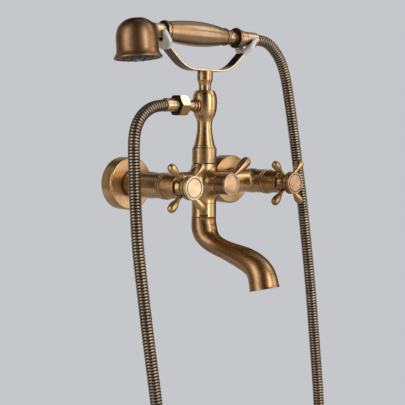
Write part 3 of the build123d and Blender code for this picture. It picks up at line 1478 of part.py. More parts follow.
hose_cone_nut.part.label = "hose_cone_nut"
export_step(hose_cone_nut.part, "parts/hose_cone_nut.step")


# Hose: a ribbed tube from the ferrule down to a hanging loop and up to the handset

hose_start = (-ferrule_end, -BODY_OUT, outlet_height)
hose_end = (cone_tip_x, -BODY_OUT, handset_height)
hose_route = [
    hose_start,
    (-71.5, -47.4, 82),
    (-90.5, -48.5, 71.5),
    (-102, -50.5, 53),
    (-104.3, -54, 16),
    (-105.8, -59.5, -24),
    (-106.4, -64.5, -63),
    (-106, -70.8, -102),
    (-105.6, -77.5, -141),
    (-103.8, -83.5, -181),
    (-101, -89, -225),
    (-98.5, -95, -298),
    (-90, -101, -380),
    (-64, -106, -456),
    (-20, -108, -504),
    (28, -109, -517),
    (78, -108, -497),
    (116, -106, -447),
    (135, -103, -372),
    (139.3, -100, -300),
    (139, -98, -257),
    (138.5, -93, -209),
    (139, -87, -162.5),
    (139.5, -81, -116.5),
    (138.5, -75, -70),
    (137.5, -69, -24),
    (135.5, -63, 18),
    (133.8, -59, 50),
    (131.5, -54.5, 80),
    (127.5, -51, 111),
    (122.5, -49, 134),
    (113, -47.8, 149.3),
    (98.5, -47.4, 157.3),
    hose_end,
]
hose_points = [Vector(*point) for point in hose_route]
hose_runs = [after - before for before, after in zip(hose_points, hose_points[1:])]
hose_radii = [
    BEND_SHARE * min(before.length, after.length) / math.tan(math.radians(before.get_angle(after)) / 2)
    for before, after in zip(hose_runs, hose_runs[1:])
]
print("hose radii", [round(radius, 1) for radius in hose_radii])

with BuildLine():
    hose_path = FilletPolyline(*hose_points, radius=hose_radii)
print("hose length", round(hose_path.length, 1))

# The ribs stop one tube diameter from each end, where the hose runs smooth into its fittings
plain_share = 2 * HOSE_RADIUS / hose_path.length
rib_share = (1 - 2 * plain_share) / RIB_COUNT
hose_stations = [(0, 0)]
for rib in range(RIB_COUNT):
    for place_share, crest_share in zip(RIB_SHARES, RIB_CREST_SHARES):
        hose_stations.append((plain_share + (rib + place_share) * rib_share, crest_share))
hose_stations += [(1 - plain_share, 0), (1, 0)]

with BuildPart() as hose:
    for share, crest_share in hose_stations:
        along = hose_path % share
        across = Vector(0, 1, 0).cross(along)
        with BuildSketch(Plane(origin=hose_path @ share, x_dir=across, z_dir=along)):
            Circle(HOSE_RADIUS - RIB_DEPTH * (1 - crest_share))
    loft(ruled=True)
    with BuildSketch(Plane(origin=hose_path @ 0, z_dir=hose_path % 0)):
        Circle(HOSE_BORE)
    sweep(path=hose_path, mode=Mode.SUBTRACT)
hose.part.label = "shower_hose"
export_step(hose.part, "parts/shower_hose.step")
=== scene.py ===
import json
import math
import bpy
import bmesh
import numpy as np
from mathutils import Matrix, Vector

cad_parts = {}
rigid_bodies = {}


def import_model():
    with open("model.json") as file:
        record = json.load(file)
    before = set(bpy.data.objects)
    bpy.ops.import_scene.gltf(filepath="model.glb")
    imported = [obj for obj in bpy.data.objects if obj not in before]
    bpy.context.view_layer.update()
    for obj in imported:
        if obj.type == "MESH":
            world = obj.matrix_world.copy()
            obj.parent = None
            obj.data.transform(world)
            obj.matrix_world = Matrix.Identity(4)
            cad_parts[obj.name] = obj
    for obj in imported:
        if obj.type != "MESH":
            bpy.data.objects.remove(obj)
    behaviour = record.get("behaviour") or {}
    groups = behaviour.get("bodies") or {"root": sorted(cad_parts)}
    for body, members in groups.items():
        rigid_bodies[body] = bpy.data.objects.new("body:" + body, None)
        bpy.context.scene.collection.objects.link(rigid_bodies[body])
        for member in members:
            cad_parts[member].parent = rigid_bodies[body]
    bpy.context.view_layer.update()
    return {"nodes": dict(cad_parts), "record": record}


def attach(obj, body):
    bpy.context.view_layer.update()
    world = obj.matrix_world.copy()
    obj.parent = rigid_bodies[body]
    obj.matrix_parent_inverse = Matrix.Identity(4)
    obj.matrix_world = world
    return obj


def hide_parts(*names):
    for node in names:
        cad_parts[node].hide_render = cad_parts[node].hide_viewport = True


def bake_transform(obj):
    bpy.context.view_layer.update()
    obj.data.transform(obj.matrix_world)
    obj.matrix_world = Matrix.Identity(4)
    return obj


# The dressed bath shower mixer. Lengths are in millimetres until they reach a mesh, which is in metres

MM = 0.001
for leftover in list(bpy.data.objects):
    bpy.data.objects.remove(leftover)
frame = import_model()
nodes = frame["nodes"]

# Directions

UP, DOWN = (0, 0, 1), (0, 0, -1)
OUT, BACK = (0, -1, 0), (0, 1, 0)
LEFT, RIGHT = (-1, 0, 0), (1, 0, 0)

# Camera values, fitted to the photo, with the level directions toward the camera and to its right

YAW, PITCH, ROLL = math.radians(43.79), math.radians(-4.46), 0.0081
CAMERA_PLACE = (-0.7093, -0.7851, 0.0583)
LENS, SENSOR_WIDTH = 84.56, 36.0
TOWARD_CAMERA = Vector((-math.sin(YAW), -math.cos(YAW), 0))
CAMERA_RIGHT = Vector((math.cos(YAW), -math.sin(YAW), 0))

# Places that the CAD part gives

INLET_X = 75.0
BODY_OUT = 47.4
OUTLET_Z = 82.0
CRADLE_Z = 119.0
HAND_Z = 157.3
HEAD_X, HEAD_Z, HEAD_TILT = -92.6, 129.3, math.radians(5.5)
LEVER_ANGLE = math.radians(37)
LEVER_WAY = (math.cos(LEVER_ANGLE), 0, math.sin(LEVER_ANGLE))
LEVER_ROOT = (0, -80.2, 0)
ORIGIN = (0, 0, 0)
RISER = (0, -BODY_OUT, 0)
OUTLET = (0, -BODY_OUT, OUTLET_Z)
HAND = (0, -BODY_OUT, HAND_Z)

# The bell is turned back and set down a little in its handle, as the ellipse of its rim shows

HEAD_LEAN, HEAD_DROP = 0.118, 2.1
CAD_HEAD_UP = Vector((-math.sin(HEAD_TILT), 0, math.cos(HEAD_TILT)))
HEAD_UP = (CAD_HEAD_UP - TOWARD_CAMERA * HEAD_LEAN).normalized()
HEAD_CROSSING = Vector((HEAD_X - (HAND_Z - HEAD_Z) * math.tan(HEAD_TILT), -BODY_OUT, HAND_Z))
HEAD = HEAD_CROSSING - HEAD_UP * ((HAND_Z - HEAD_Z) / math.cos(HEAD_TILT) + HEAD_DROP)
HEAD_LEVEL = HEAD @ HEAD_UP

# Node materials


def linear(red, green, blue):
    """An sRGB colour, 0 to 255, as a linear one."""
    shares = [part / 255 for part in (red, green, blue)]
    return (*(share / 12.92 if share <= 0.04045 else ((share + 0.055) / 1.055) ** 2.4 for share in shares), 1)


class Tree:
    """A material's node tree, with short calls that add a node and link its inputs."""

    def __init__(self, name):
        self.material = bpy.data.materials.new(name)
        self.material.use_nodes = True
        self.tree = self.material.node_tree
        self.shader = self.tree.nodes["Principled BSDF"]

    def put(self, socket, value):
        """Give a socket a value, or link it to another node's output."""
        if isinstance(value, bpy.types.NodeSocket):
            self.tree.links.new(value, socket)
        else:
            socket.default_value = value

    def add(self, kind, *values, out=0, **settings):
        """A new node with its inputs in order, or by name in inputs; returns one of its outputs."""
        made = self.tree.nodes.new(kind)
        named = settings.pop("inputs", {})
        for key, value in settings.items():
            setattr(made, key, value)
        for socket, value in zip(made.inputs, values):
            self.put(socket, value)
        for key, value in named.items():
            self.put(made.inputs[key], value)
        return made.outputs[out]

    def place(self):
        """The object's own coordinates, in metres."""
        return self.add("ShaderNodeTexCoord", out="Object")

    def math(self, operation, *values, clamp=False):
        return self.add("ShaderNodeMath", *values, operation=operation, use_clamp=clamp)

    def vector(self, operation, *values, out="Vector"):
        return self.add("ShaderNodeVectorMath", *values, operation=operation, out=out)

    def noise(self, place, scale, detail, rough):
        inputs = {"Vector": place, "Scale": scale, "Detail": detail, "Roughness": rough}
        return self.add("ShaderNodeTexNoise", inputs=inputs)

    def bump(self, strength, distance, height):
        inputs = {"Strength": strength, "Distance": distance, "Height": height}
        return self.add("ShaderNodeBump", inputs=inputs)

    def spread(self, value, low, high, to_low=0.0, to_high=1.0):
        """The value's share of the way from low to high, held at both ends."""
        return self.add("ShaderNodeMapRange", value, low, high, to_low, to_high, clamp=True)

    def mix(self, share, one, other):
        """One colour turning into the other. A Mix node has its colours at inputs 6 and 7 and at output 2."""
        made = self.tree.nodes.new("ShaderNodeMix")
        made.data_type = "RGBA"
        for socket, value in zip((made.inputs[0], made.inputs[6], made.inputs[7]), (share, one, other)):
            self.put(socket, value)
        return made.outputs[2]

    def set(self, **values):
        """Give or link inputs of the shader by name; returns the material."""
        for key, value in values.items():
            self.put(self.shader.inputs[key.replace("_", " ")], value)
        return self.material


def turned_place(tree, centre, axis):
    """Coordinates of a turned surface: the place, the distances along and out, and the way out."""
    place = tree.place()
    offset = tree.vector("SUBTRACT", place, tuple(c * MM for c in centre))
    along = tree.vector("DOT_PRODUCT", offset, axis, out="Value")
    foot = tree.vector("MULTIPLY", tree.add("ShaderNodeCombineXYZ", along, along, along), axis)
    level = tree.vector("SUBTRACT", offset, foot)
    reach = tree.vector("LENGTH", level, out="Value")
    away = tree.vector("NORMALIZE", level)
    return place, along, reach, away


STREAK_SCALE, BAND_SCALE, STAIN_SCALE, CLOUD_SCALE = 2600.0, 420.0, 46.0, 13.0
FLAT_STRETCH = (0.12, 1.0, 1.0)
CORNER_DISTANCE = 6 * MM
BRASS_LIGHT, BRASS_MID, BRASS_DARK = linear(214, 170, 106), linear(162, 118, 64), linear(50, 25, 10)
BRASS_EDGE = (0.62, 0.5, 0.38, 1)


def brushed(name, centre, axis, light=BRASS_LIGHT, mid=BRASS_MID, dark=BRASS_DARK, rough=0.34, brush=0.7,
            coat=0.5, turned=True, patina_and_shade=0.9, edge=BRASS_EDGE, zones=(), sides=()):
    """Antique brass with faint stains, darkened in its corners by patina and painted shade, brushed round its
    axis, or along x if not turned.

    A zone is a direction, where along it a tint begins and where it is full, and the tint. A side is the way
    that a surface faces, in the object's own axes, and its tint. Both lay painted light and shade on the
    colour.
    """
    tree = Tree(name)
    place, along, reach, away = turned_place(tree, centre, axis)
    if turned:
        lines = tree.add("ShaderNodeCombineXYZ", along, reach, 0.0)
        wander = tree.vector("MULTIPLY", away, (1.2 * MM, 1.2 * MM, 1.2 * MM))
        brushed_at = tree.vector("ADD", lines, wander)
    else:
        brushed_at = tree.vector("MULTIPLY", place, FLAT_STRETCH)
    streaks = tree.noise(brushed_at, STREAK_SCALE, 2.0, 0.6)
    bands = tree.noise(brushed_at, BAND_SCALE, 3.0, 0.6)
    stains = tree.noise(place, STAIN_SCALE, 4.0, 0.62)
    cloud = tree.noise(place, CLOUD_SCALE, 3.0, 0.5)
    hollow = tree.add("ShaderNodeAmbientOcclusion", inputs={"Distance": CORNER_DISTANCE}, samples=8, out="AO")
    stain_tone = tree.spread(stains, 0.3, 0.7, -0.22, 0.22)
    tone = tree.math("ADD", stain_tone, tree.spread(bands, 0.3, 0.7, -0.2, 0.2))
    tone = tree.math("ADD", tone, tree.spread(cloud, 0.35, 0.65, 0.3, 0.75), clamp=True)
    colour = tree.mix(tone, mid, light)
    # Painted light and shade by the way a surface faces
    for way, tint in sides:
        normal = tree.add("ShaderNodeTexCoord", out="Normal")
        facing = tree.vector("DOT_PRODUCT", normal, way, out="Value")
        colour = tree.mix(tree.spread(facing, 0.6, 0.88), colour, tint)
    # Tints along a direction, for painted light and shade
    for way, start, end, tint in zones:
        across = tree.vector("DOT_PRODUCT", place, way, out="Value")
        colour = tree.mix(tree.spread(across, start * MM, end * MM), colour, tint)
    # Patina and painted shade: the colour turns dark where occlusion finds a corner or recess
    corner = tree.math("MULTIPLY", tree.spread(hollow, 0.35, 0.92, 1.0, 0.0), patina_and_shade)
    colour = tree.mix(corner, colour, dark)
    stain_gloss = tree.spread(stains, 0.3, 0.7, rough + 0.05, rough - 0.05)
    gloss = tree.math("ADD", stain_gloss, tree.spread(bands, 0.3, 0.7, -0.04, 0.04))
    gloss = tree.math("ADD", gloss, tree.math("MULTIPLY", corner, 0.2))
    tree.set(Base_Color=colour, Metallic=1.0, Roughness=gloss, Normal=tree.bump(0.12, 0.12 * MM, streaks),
             Coat_Weight=coat, Coat_Roughness=0.22, Coat_IOR=1.9, Specular_Tint=edge)
    if turned and brush:
        around = tree.vector("CROSS_PRODUCT", away, axis)
        around = tree.add("ShaderNodeVectorTransform", around, vector_type="VECTOR", convert_from="OBJECT",
                          convert_to="WORLD")
        normal = tree.add("ShaderNodeNewGeometry", out="Normal")
        tree.set(Anisotropic=brush, Tangent=tree.vector("CROSS_PRODUCT", around, normal))
    return tree.material


def plain(name, colour, rough, metallic=0.0, **more):
    """A moulded, cast or rubber surface with a fine grain."""
    tree = Tree(name)
    place = tree.place()
    grain = tree.noise(place, 900.0, 3.0, 0.6)
    cloud = tree.noise(place, 60.0, 3.0, 0.6)
    darker = (*(part * 0.72 for part in colour[:3]), 1)
    shade = tree.mix(tree.spread(cloud, 0.3, 0.7, 0.0, 0.35), colour, darker)
    gloss = tree.spread(grain, 0.3, 0.7, rough - 0.06, rough + 0.06)
    relief = tree.bump(0.05, 0.1 * MM, grain)
    return tree.set(Base_Color=shade, Roughness=gloss, Metallic=metallic, Normal=relief, **more)


# Mesh helpers

SHARP_ANGLE = 38
SQUARE = [(-1, -1), (1, -1), (1, 1), (-1, 1)]
EDGE_SHARE = 0.45
LEAD_SHARE = 0.2


def link_object(name, data):
    """A new object in the scene."""
    made = bpy.data.objects.new(name, data)
    bpy.context.scene.collection.objects.link(made)
    return made


def piece(name, points, faces, body, slot, material, stands_for, sharp=SHARP_ANGLE):
    """A mesh piece from points in millimetres, that rides on a body and stands for CAD nodes."""
    mesh = bpy.data.meshes.new(name)
    mesh.from_pydata([tuple(c * MM for c in point) for point in points], [], faces)
    mesh.validate()
    work = bmesh.new()
    work.from_mesh(mesh)
    bmesh.ops.remove_doubles(work, verts=work.verts, dist=1e-6)
    bmesh.ops.recalc_face_normals(work, faces=work.faces)
    work.to_mesh(mesh)
    work.free()
    mesh.shade_smooth()
    mesh.set_sharp_from_angle(angle=math.radians(sharp))
    mesh.materials.append(material)
    made = link_object(name, mesh)
    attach(made, body)
    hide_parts(*stands_for)


def rounded(outline, closed=False, steps=4):
    """The outline with its corners rounded: each point is radius, distance along, and the corner's radius.

    A corner takes up less than half of an edge. A short lead on both sides keeps the shading flat there.
    """
    count, made = len(outline), []
    for i, point in enumerate(outline):
        here = Vector(point[:2])
        corner = point[2] if len(point) > 2 else 0
        if not corner or (not closed and i in (0, count - 1)):
            made.append(tuple(here))
            continue
        to_before = Vector(outline[i - 1][:2]) - here
        to_after = Vector(outline[(i + 1) % count][:2]) - here
        half = to_before.angle(to_after) / 2
        reach = min(corner / math.tan(half), EDGE_SHARE * to_before.length, EDGE_SHARE * to_after.length)
        radius = reach * math.tan(half)
        to_before.normalize()
        to_after.normalize()
        middle = here + (to_before + to_after).normalized() * (radius / math.sin(half))
        start, end = here + to_before * reach, here + to_after * reach
        made.append(tuple(start + to_before * reach * LEAD_SHARE))
        for step in range(steps + 1):
            spoke = (start - middle).lerp(end - middle, step / steps).normalized()
            made.append(tuple(middle + spoke * radius))
        made.append(tuple(end + to_after * reach * LEAD_SHARE))
    return made


def smooth_run(points, steps=8, first=None, last=None):
    """A smooth curve through the points, with its end directions given where they matter."""
    knots = [Vector(point) for point in points]
    gaps = [after - before for before, after in zip(knots, knots[1:])]
    slopes = [Vector(first) * gaps[0].length if first else gaps[0]]
    for behind, ahead in zip(gaps, gaps[1:]):
        slopes.append((ahead / ahead.length ** 2 + behind / behind.length ** 2).normalized())
    slopes.append(Vector(last) * gaps[-1].length if last else gaps[-1])
    run = []
    for i, gap in enumerate(gaps):
        leave = slopes[i] if i == 0 else slopes[i] * gap.length
        arrive = slopes[i + 1] if i == len(gaps) - 1 else slopes[i + 1] * gap.length
        for step in range(steps):
            t = step / steps
            run.append(tuple(
                knots[i] * (2 * t ** 3 - 3 * t ** 2 + 1) + leave * (t ** 3 - 2 * t ** 2 + t)
                + knots[i + 1] * (3 * t ** 2 - 2 * t ** 3) + arrive * (t ** 3 - t ** 2)))
    run.append(tuple(knots[-1]))
    return run


def lathe_mesh(outline, origin, axis, segments=96, closed=False, radius_at=None, guide=None):
    """Points and faces of an outline of radius and distance, turned about an axis."""
    origin, axis = Vector(origin), Vector(axis).normalized()
    guide = guide or (UP if abs(axis.z) < 0.9 else BACK)
    across = Vector(guide).cross(axis).normalized()
    over = axis.cross(across)
    points, faces, rings = [], [], []
    for radius, along in outline:
        centre = origin + axis * along
        if radius < 1e-6:
            rings.append([len(points)])
            points.append(tuple(centre))
            continue
        rings.append(list(range(len(points), len(points) + segments)))
        for step in range(segments):
            turn = 2 * math.pi * step / segments
            reach = radius_at(radius, turn) if radius_at else radius
            points.append(tuple(centre + (across * math.cos(turn) + over * math.sin(turn)) * reach))
    following = rings[1:] + rings[:1] if closed else rings[1:]
    for one, two in zip(rings, following):
        if len(one) == len(two) == 1:
            continue
        for step in range(segments):
            after = (step + 1) % segments
            if len(one) == 1:
                faces.append((one[0], two[after], two[step]))
            elif len(two) == 1:
                faces.append((one[step], one[after], two[0]))
            else:
                faces.append((one[step], one[after], two[after], two[step]))
    return points, faces


def lathe(name, outline, origin, axis, body, slot, material, stands_for, segments=96, closed=False):
    """A turned piece."""
    shape = lathe_mesh(outline, origin, axis, segments, closed)
    piece(name, *shape, body, slot, material, stands_for)


def join(*meshes):
    """Several meshes as one."""
    points, faces = [], []
    for more_points, more_faces in meshes:
        start = len(points)
        points += more_points
        faces += [tuple(start + i for i in face) for face in more_faces]
    return points, faces


def ring_faces(rings, count):
    """Faces between rings of points that follow each other, with a face over each end."""
    faces = []
    for ring in range(rings - 1):
        here, there = ring * count, (ring + 1) * count
        for k in range(count):
            after = (k + 1) % count
            faces.append((here + k, here + after, there + after, there + k))
    faces.append(tuple(range(count))[::-1])
    faces.append(tuple((rings - 1) * count + k for k in range(count)))
    return faces


# Fields of distances, for the shapes that are blended

PROBE = 0.02


def smooth_join(one, two, width):
    """Two fields of distances joined with a fillet of about this radius."""
    near = np.maximum(width - np.abs(one - two), 0) / width
    return np.minimum(one, two) - near * near * width / 4


def smooth_cut(one, two, width):
    """The first field with the second cut out of it, and the edge between them rounded."""
    return -smooth_join(-one, two, width)


def bar(place, middle, axis, radius):
    """The distance from an endless round bar."""
    offset, axis = place - np.array(middle), np.array(axis, float)
    level = offset - (offset @ axis)[..., None] * axis
    return np.linalg.norm(level, axis=-1) - radius


def open_slot(aside, height, radius):
    """The distance from a slot that is round below and open above."""
    return np.where(height > 0, np.abs(aside), np.hypot(aside, height)) - radius


def section(outline, radius, height):
    """The distance from a closed outline in radius and height, negative inside it."""
    nearest, inside = np.full(radius.shape, 1e9), np.zeros(radius.shape, bool)
    for start, end in zip(outline, outline[1:] + outline[:1]):
        run, rise = end[0] - start[0], end[1] - start[1]
        out, up = radius - start[0], height - start[1]
        share = np.clip((out * run + up * rise) / (run * run + rise * rise), 0, 1)
        nearest = np.minimum(nearest, (out - run * share) ** 2 + (up - rise * share) ** 2)
        if rise:
            inside ^= ((start[1] > height) != (end[1] > height)) & (radius < run * up / rise + start[0])
    return np.where(inside, -1, 1) * np.sqrt(nearest)


def skin(field, low, high, cell):
    """Points and faces of the surface where a field is nought: a net over a grid, drawn on to the surface."""
    low = np.array(low, float)
    lines = [start + cell * np.arange(math.ceil((end - start) / cell) + 1) for start, end in zip(low, high)]
    values = field(np.stack(np.meshgrid(*lines, indexing="ij"), -1))
    inside = values < 0
    corners = [(i, j, k) for i in (0, 1) for j in (0, 1) for k in (0, 1)]
    sizes = [n - 1 for n in values.shape]
    held = sum(inside[i:sizes[0] + i, j:sizes[1] + j, k:sizes[2] + k].astype(int) for i, j, k in corners)
    mixed = (held > 0) & (held < 8)
    cells = np.argwhere(mixed)
    number = np.full(mixed.shape, -1)
    number[mixed] = np.arange(len(cells))
    total, count, steps = np.zeros((len(cells), 3)), np.zeros(len(cells)), np.eye(3, dtype=int)
    for axis in range(3):
        for corner in corners:
            if corner[axis]:
                continue
            here = cells + corner
            near, far = values[tuple(here.T)], values[tuple((here + steps[axis]).T)]
            crossed = (near < 0) != (far < 0)
            share = near[crossed] / (near[crossed] - far[crossed])
            total[crossed] += here[crossed] + share[:, None] * steps[axis]
            count[crossed] += 1
    points = low + cell * total / count[:, None]
    for _ in range(3):
        probes = [field(points + PROBE * way) - field(points - PROBE * way) for way in np.eye(3)]
        slope = np.stack(probes, -1) / (2 * PROBE)
        points -= field(points)[:, None] * slope / np.maximum((slope ** 2).sum(-1, keepdims=True), 0.05)
    faces = []
    for axis in range(3):
        second_axis, third_axis = (axis + 1) % 3, (axis + 2) % 3
        one, two = steps[second_axis], steps[third_axis]
        first = np.take(inside, range(sizes[axis]), axis)
        second = np.take(inside, range(1, sizes[axis] + 1), axis)
        at = np.argwhere(first != second)
        past_start = (at @ one > 0) & (at @ two > 0)
        at = at[past_start & (at @ one < sizes[second_axis]) & (at @ two < sizes[third_axis])]
        quads = np.stack([number[tuple((at - shift).T)] for shift in (one + two, two, 0 * one, one)], -1)
        outward = first[tuple(at.T)]
        quads[~outward] = quads[~outward][:, ::-1]
        faces += quads.tolist()
    return [tuple(point) for point in points.tolist()], [tuple(face) for face in faces]


def trimmed(shape, place, normal, near=lambda co: True):
    """The shape without what lies past a plane, where near says that the plane cuts."""
    points, faces = shape
    mesh = bpy.data.meshes.new("work")
    mesh.from_pydata(points, [], faces)
    work = bmesh.new()
    work.from_mesh(mesh)
    verts = [v for v in work.verts if near(v.co)]
    kept = set(verts)
    edges = [e for e in work.edges if all(v in kept for v in e.verts)]
    sides = [f for f in work.faces if all(v in kept for v in f.verts)]
    geometry = verts + edges + sides
    bmesh.ops.bisect_plane(work, geom=geometry, plane_co=place, plane_no=normal, clear_outer=True)
    work.verts.index_update()
    points = [tuple(v.co) for v in work.verts]
    faces = [tuple(v.index for v in f.verts) for f in work.faces]
    work.free()
    bpy.data.meshes.remove(mesh)
    return points, faces


# Materials of the parts

left_inlet, right_inlet = (-INLET_X, 0, 0), (INLET_X, 0, 0)
brass = {
    "left": brushed("brass_left", left_inlet, OUT),
    # The right side's brass is a darker copy, as painted shade
    "right": brushed("brass_right_shaded", right_inlet, OUT, linear(196, 146, 82), linear(140, 95, 48)),
    "riser": brushed("brass_riser", RISER, UP),
    "body": brushed("brass_body", RISER, RIGHT, brush=0.0),
}
# The spout's brass is a darker copy, as painted shade
spout_brass = brushed("brass_spout_shaded", RISER, UP, linear(176, 128, 70), linear(116, 77, 36),
                      rough=0.36, brush=0.0)
collar_brass = brushed("brass_collar", RISER, UP, linear(202, 160, 108), linear(158, 118, 70),
                       rough=0.44, brush=0.6)
# The drum's and lever's brass are darker copies, as painted shade
drum_brass = brushed("brass_drum_shaded", ORIGIN, OUT, linear(170, 120, 68), linear(114, 74, 38))
lever_brass = brushed("brass_lever_shaded", LEVER_ROOT, LEVER_WAY, linear(180, 134, 80), linear(134, 94, 52),
                      linear(44, 26, 13))
# The index discs and the diverter's disc are pale copies of the brass with painted light, lightest on the
# left and darkest on the right
disc_brass = {}
for side, centre, light, mid in (
        ("left", left_inlet, linear(226, 196, 150), linear(198, 162, 114)),
        ("middle", ORIGIN, linear(216, 176, 130), linear(160, 120, 78)),
        ("right", right_inlet, linear(184, 140, 88), linear(150, 108, 62))):
    disc_brass[side] = brushed(f"brass_{side}_disc", centre, OUT, light, mid, rough=0.42, patina_and_shade=1.0)

# The stub's flange is painted nearly black as a shadow beside the nut. The nut has painted shade toward the
# hose and a painted highlight on its upper front facet
stub_brass = brushed("brass_stub", OUTLET, RIGHT, zones=((RIGHT, -27.4, -28.0, linear(24, 16, 10)),))
NUT_HIGHLIGHT_FACET = (0, -0.866, 0.5)
nut_brass = brushed("brass_nut", OUTLET, RIGHT, linear(214, 170, 108), linear(170, 124, 68), turned=False,
                    coat=0.3, sides=((LEFT, linear(50, 30, 16)), (NUT_HIGHLIGHT_FACET, linear(232, 210, 170))))
ferrule_brass = brushed("brass_ferrule", OUTLET, RIGHT, linear(230, 200, 148), linear(196, 160, 104))

# The handset is browner than the mixer. Its rings have painted shade toward the bell. The bell's crown is
# darkened as patina and painted shade, and its neck has a painted highlight
HAND_DARK = linear(44, 27, 13)
hand_brass = brushed("brass_handset", HAND, RIGHT, linear(186, 146, 96), linear(136, 100, 60), HAND_DARK,
                     rough=0.36, edge=(1, 0.95, 0.85, 1))
cone_brass = brushed("brass_cone", HAND, RIGHT, linear(216, 180, 142), linear(172, 134, 98), HAND_DARK,
                     rough=0.4)
ring_brass = brushed("brass_ring", HAND, RIGHT, linear(178, 134, 82), linear(130, 92, 52), HAND_DARK,
                     sides=((LEFT, linear(34, 22, 12)),))
plate_brass = brushed("brass_spray_face", HEAD, HEAD_UP, linear(64, 44, 30), linear(40, 28, 19),
                      linear(20, 13, 8), rough=0.5, coat=0.2)
crown_patina_and_shade = (HEAD_UP, HEAD_LEVEL + 25, HEAD_LEVEL + 44, linear(62, 48, 30))
neck_highlight = (RIGHT, -81, -73, linear(232, 206, 158))
bell_brass = brushed("brass_bell", HEAD, HEAD_UP, linear(156, 114, 72), linear(110, 78, 46), HAND_DARK,
                     rough=0.46, brush=0.35, coat=0.25, zones=(crown_patina_and_shade, neck_highlight))

# The strap is dark, with a painted highlight along its two long edges
STRAP_EDGE_HIGHLIGHT = linear(204, 178, 138)
bronze = brushed("bronze_strap", RISER, UP, linear(104, 76, 52), linear(70, 50, 34), linear(34, 22, 14),
                 rough=0.36, turned=False, sides=((OUT, STRAP_EDGE_HIGHLIGHT), (BACK, STRAP_EDGE_HIGHLIGHT)))
ivory = plain("ivory_plastic", linear(220, 217, 208), 0.34, Coat_Weight=0.3)
rubber = plain("black_rubber", linear(34, 33, 32), 0.6)
steel = plain("plain_steel", linear(168, 164, 158), 0.32, 1.0)
silicone = plain("nozzle_silicone", linear(60, 52, 44), 0.5)
inner_brass = brushed("brass_inner", RISER, UP, linear(206, 170, 110), linear(170, 130, 76),
                      linear(90, 64, 36), rough=0.3, brush=0.0)

# Each CAD node gets the material of its slot, and the spout, which stays as it is in the CAD, has its own
slot_material = {
    "antique_brass": brass["body"], "handset_brass": hand_brass, "strap_bronze": bronze,
    "hose_metal": hand_brass, "fork_plastic": ivory, "seal_rubber": rubber, "screw_steel": steel,
    "nozzle_rubber": silicone, "cartridge_brass": inner_brass,
}
subparts = frame["record"]["subparts"]
node_material = {entry["node"]: slot_material[entry["material_slot"]] for entry in subparts}
node_material["spout"] = spout_brass
for name, material in node_material.items():
    node = nodes[name]
    node.data.materials.clear()
    node.data.materials.append(material)
    node.data.shade_smooth()
    node.data.set_sharp_from_angle(angle=math.radians(SHARP_ANGLE))

# Camera

camera_data = bpy.data.cameras.new("camera")
camera_data.sensor_fit = "HORIZONTAL"
camera_data.sensor_width = SENSOR_WIDTH
camera_data.lens = LENS
camera_data.clip_start, camera_data.clip_end = 0.05, 60.0
camera = link_object("camera", camera_data)
forward = Vector((math.sin(YAW) * math.cos(PITCH), math.cos(YAW) * math.cos(PITCH), math.sin(PITCH)))
level_right = forward.cross(Vector(UP)).normalized()
upward = level_right.cross(forward)
right_rolled = level_right * math.cos(ROLL) + upward * math.sin(ROLL)
up_rolled = upward * math.cos(ROLL) - level_right * math.sin(ROLL)
camera_turn = Matrix((right_rolled, up_rolled, -forward)).transposed()
camera.matrix_world = Matrix.Translation(CAMERA_PLACE) @ camera_turn.to_4x4()
bpy.context.scene.camera = camera

# Hose

HOSE_RADIUS = 6.2
HOSE_SEGMENTS = 28
RIDGE_PITCH, RIDGE_DEPTH = 3.03, 0.7
RIDGE_SHAPE = [(0.0, 0.0), (0.1, 0.0), (0.16, 0.6), (0.32, 0.9), (0.55, 1.0), (0.78, 0.9), (0.94, 0.6)]
TANGENT_REACH = 1.2
hose_route = [
    (-49, -47.4, 82), (-67.3, -47.6, 81.4), (-82.3, -48.2, 76), (-93.6, -49.6, 66.6), (-100.6, -51.5, 54.5),
    (-103.6, -53.6, 38), (-105.2, -57, 8), (-106.6, -60.5, -22), (-106.8, -64.5, -63), (-106, -70.8, -102),
    (-105.6, -77.5, -141), (-103.8, -83.5, -181), (-101, -89, -225), (-98.5, -95, -298), (-90, -101, -380),
    (-64, -106, -456), (-20, -108, -504), (28, -109, -517), (78, -108, -497), (116, -106, -447),
    (135, -103, -372), (139.3, -100, -300), (139, -98, -257), (138.5, -93, -209), (139, -87, -162.5),
    (139.5, -81, -116.5), (138.5, -75, -70), (137.5, -69, -24), (135.5, -62, 22), (133.2, -55.5, 68),
    (130.2, -52.5, 94), (126.6, -50.6, 117), (119, -49, 137), (106, -47.8, 151), (93, -47.4, 157.3),
    (80, -47.4, 157.3),
]


def middle_line():
    """The hose's middle line in millimetres: one spline over the route's points."""
    route = bpy.data.curves.new("route", "CURVE")
    route.dimensions = "3D"
    route.resolution_u = 24
    spline = route.splines.new("NURBS")
    spline.points.add(len(hose_route) - 1)
    for point, place in zip(spline.points, hose_route):
        point.co = (*(c * MM for c in place), 1)
    spline.order_u = 3
    spline.use_endpoint_u = True
    route_object = link_object("route", route)
    bpy.context.view_layer.update()
    drawn = bpy.data.meshes.new_from_object(route_object.evaluated_get(bpy.context.evaluated_depsgraph_get()))
    bpy.data.objects.remove(route_object)
    return np.array([tuple(v.co) for v in drawn.vertices]) / MM


hose_line = middle_line()
lengths = np.concatenate([[0], np.cumsum(np.linalg.norm(np.diff(hose_line, axis=0), axis=1))])
hose_length = lengths[-1]


def along_hose(distance):
    """The point of the middle line at this distance from the mixer."""
    return np.array([np.interp(distance, lengths, hose_line[:, k]) for k in range(3)])


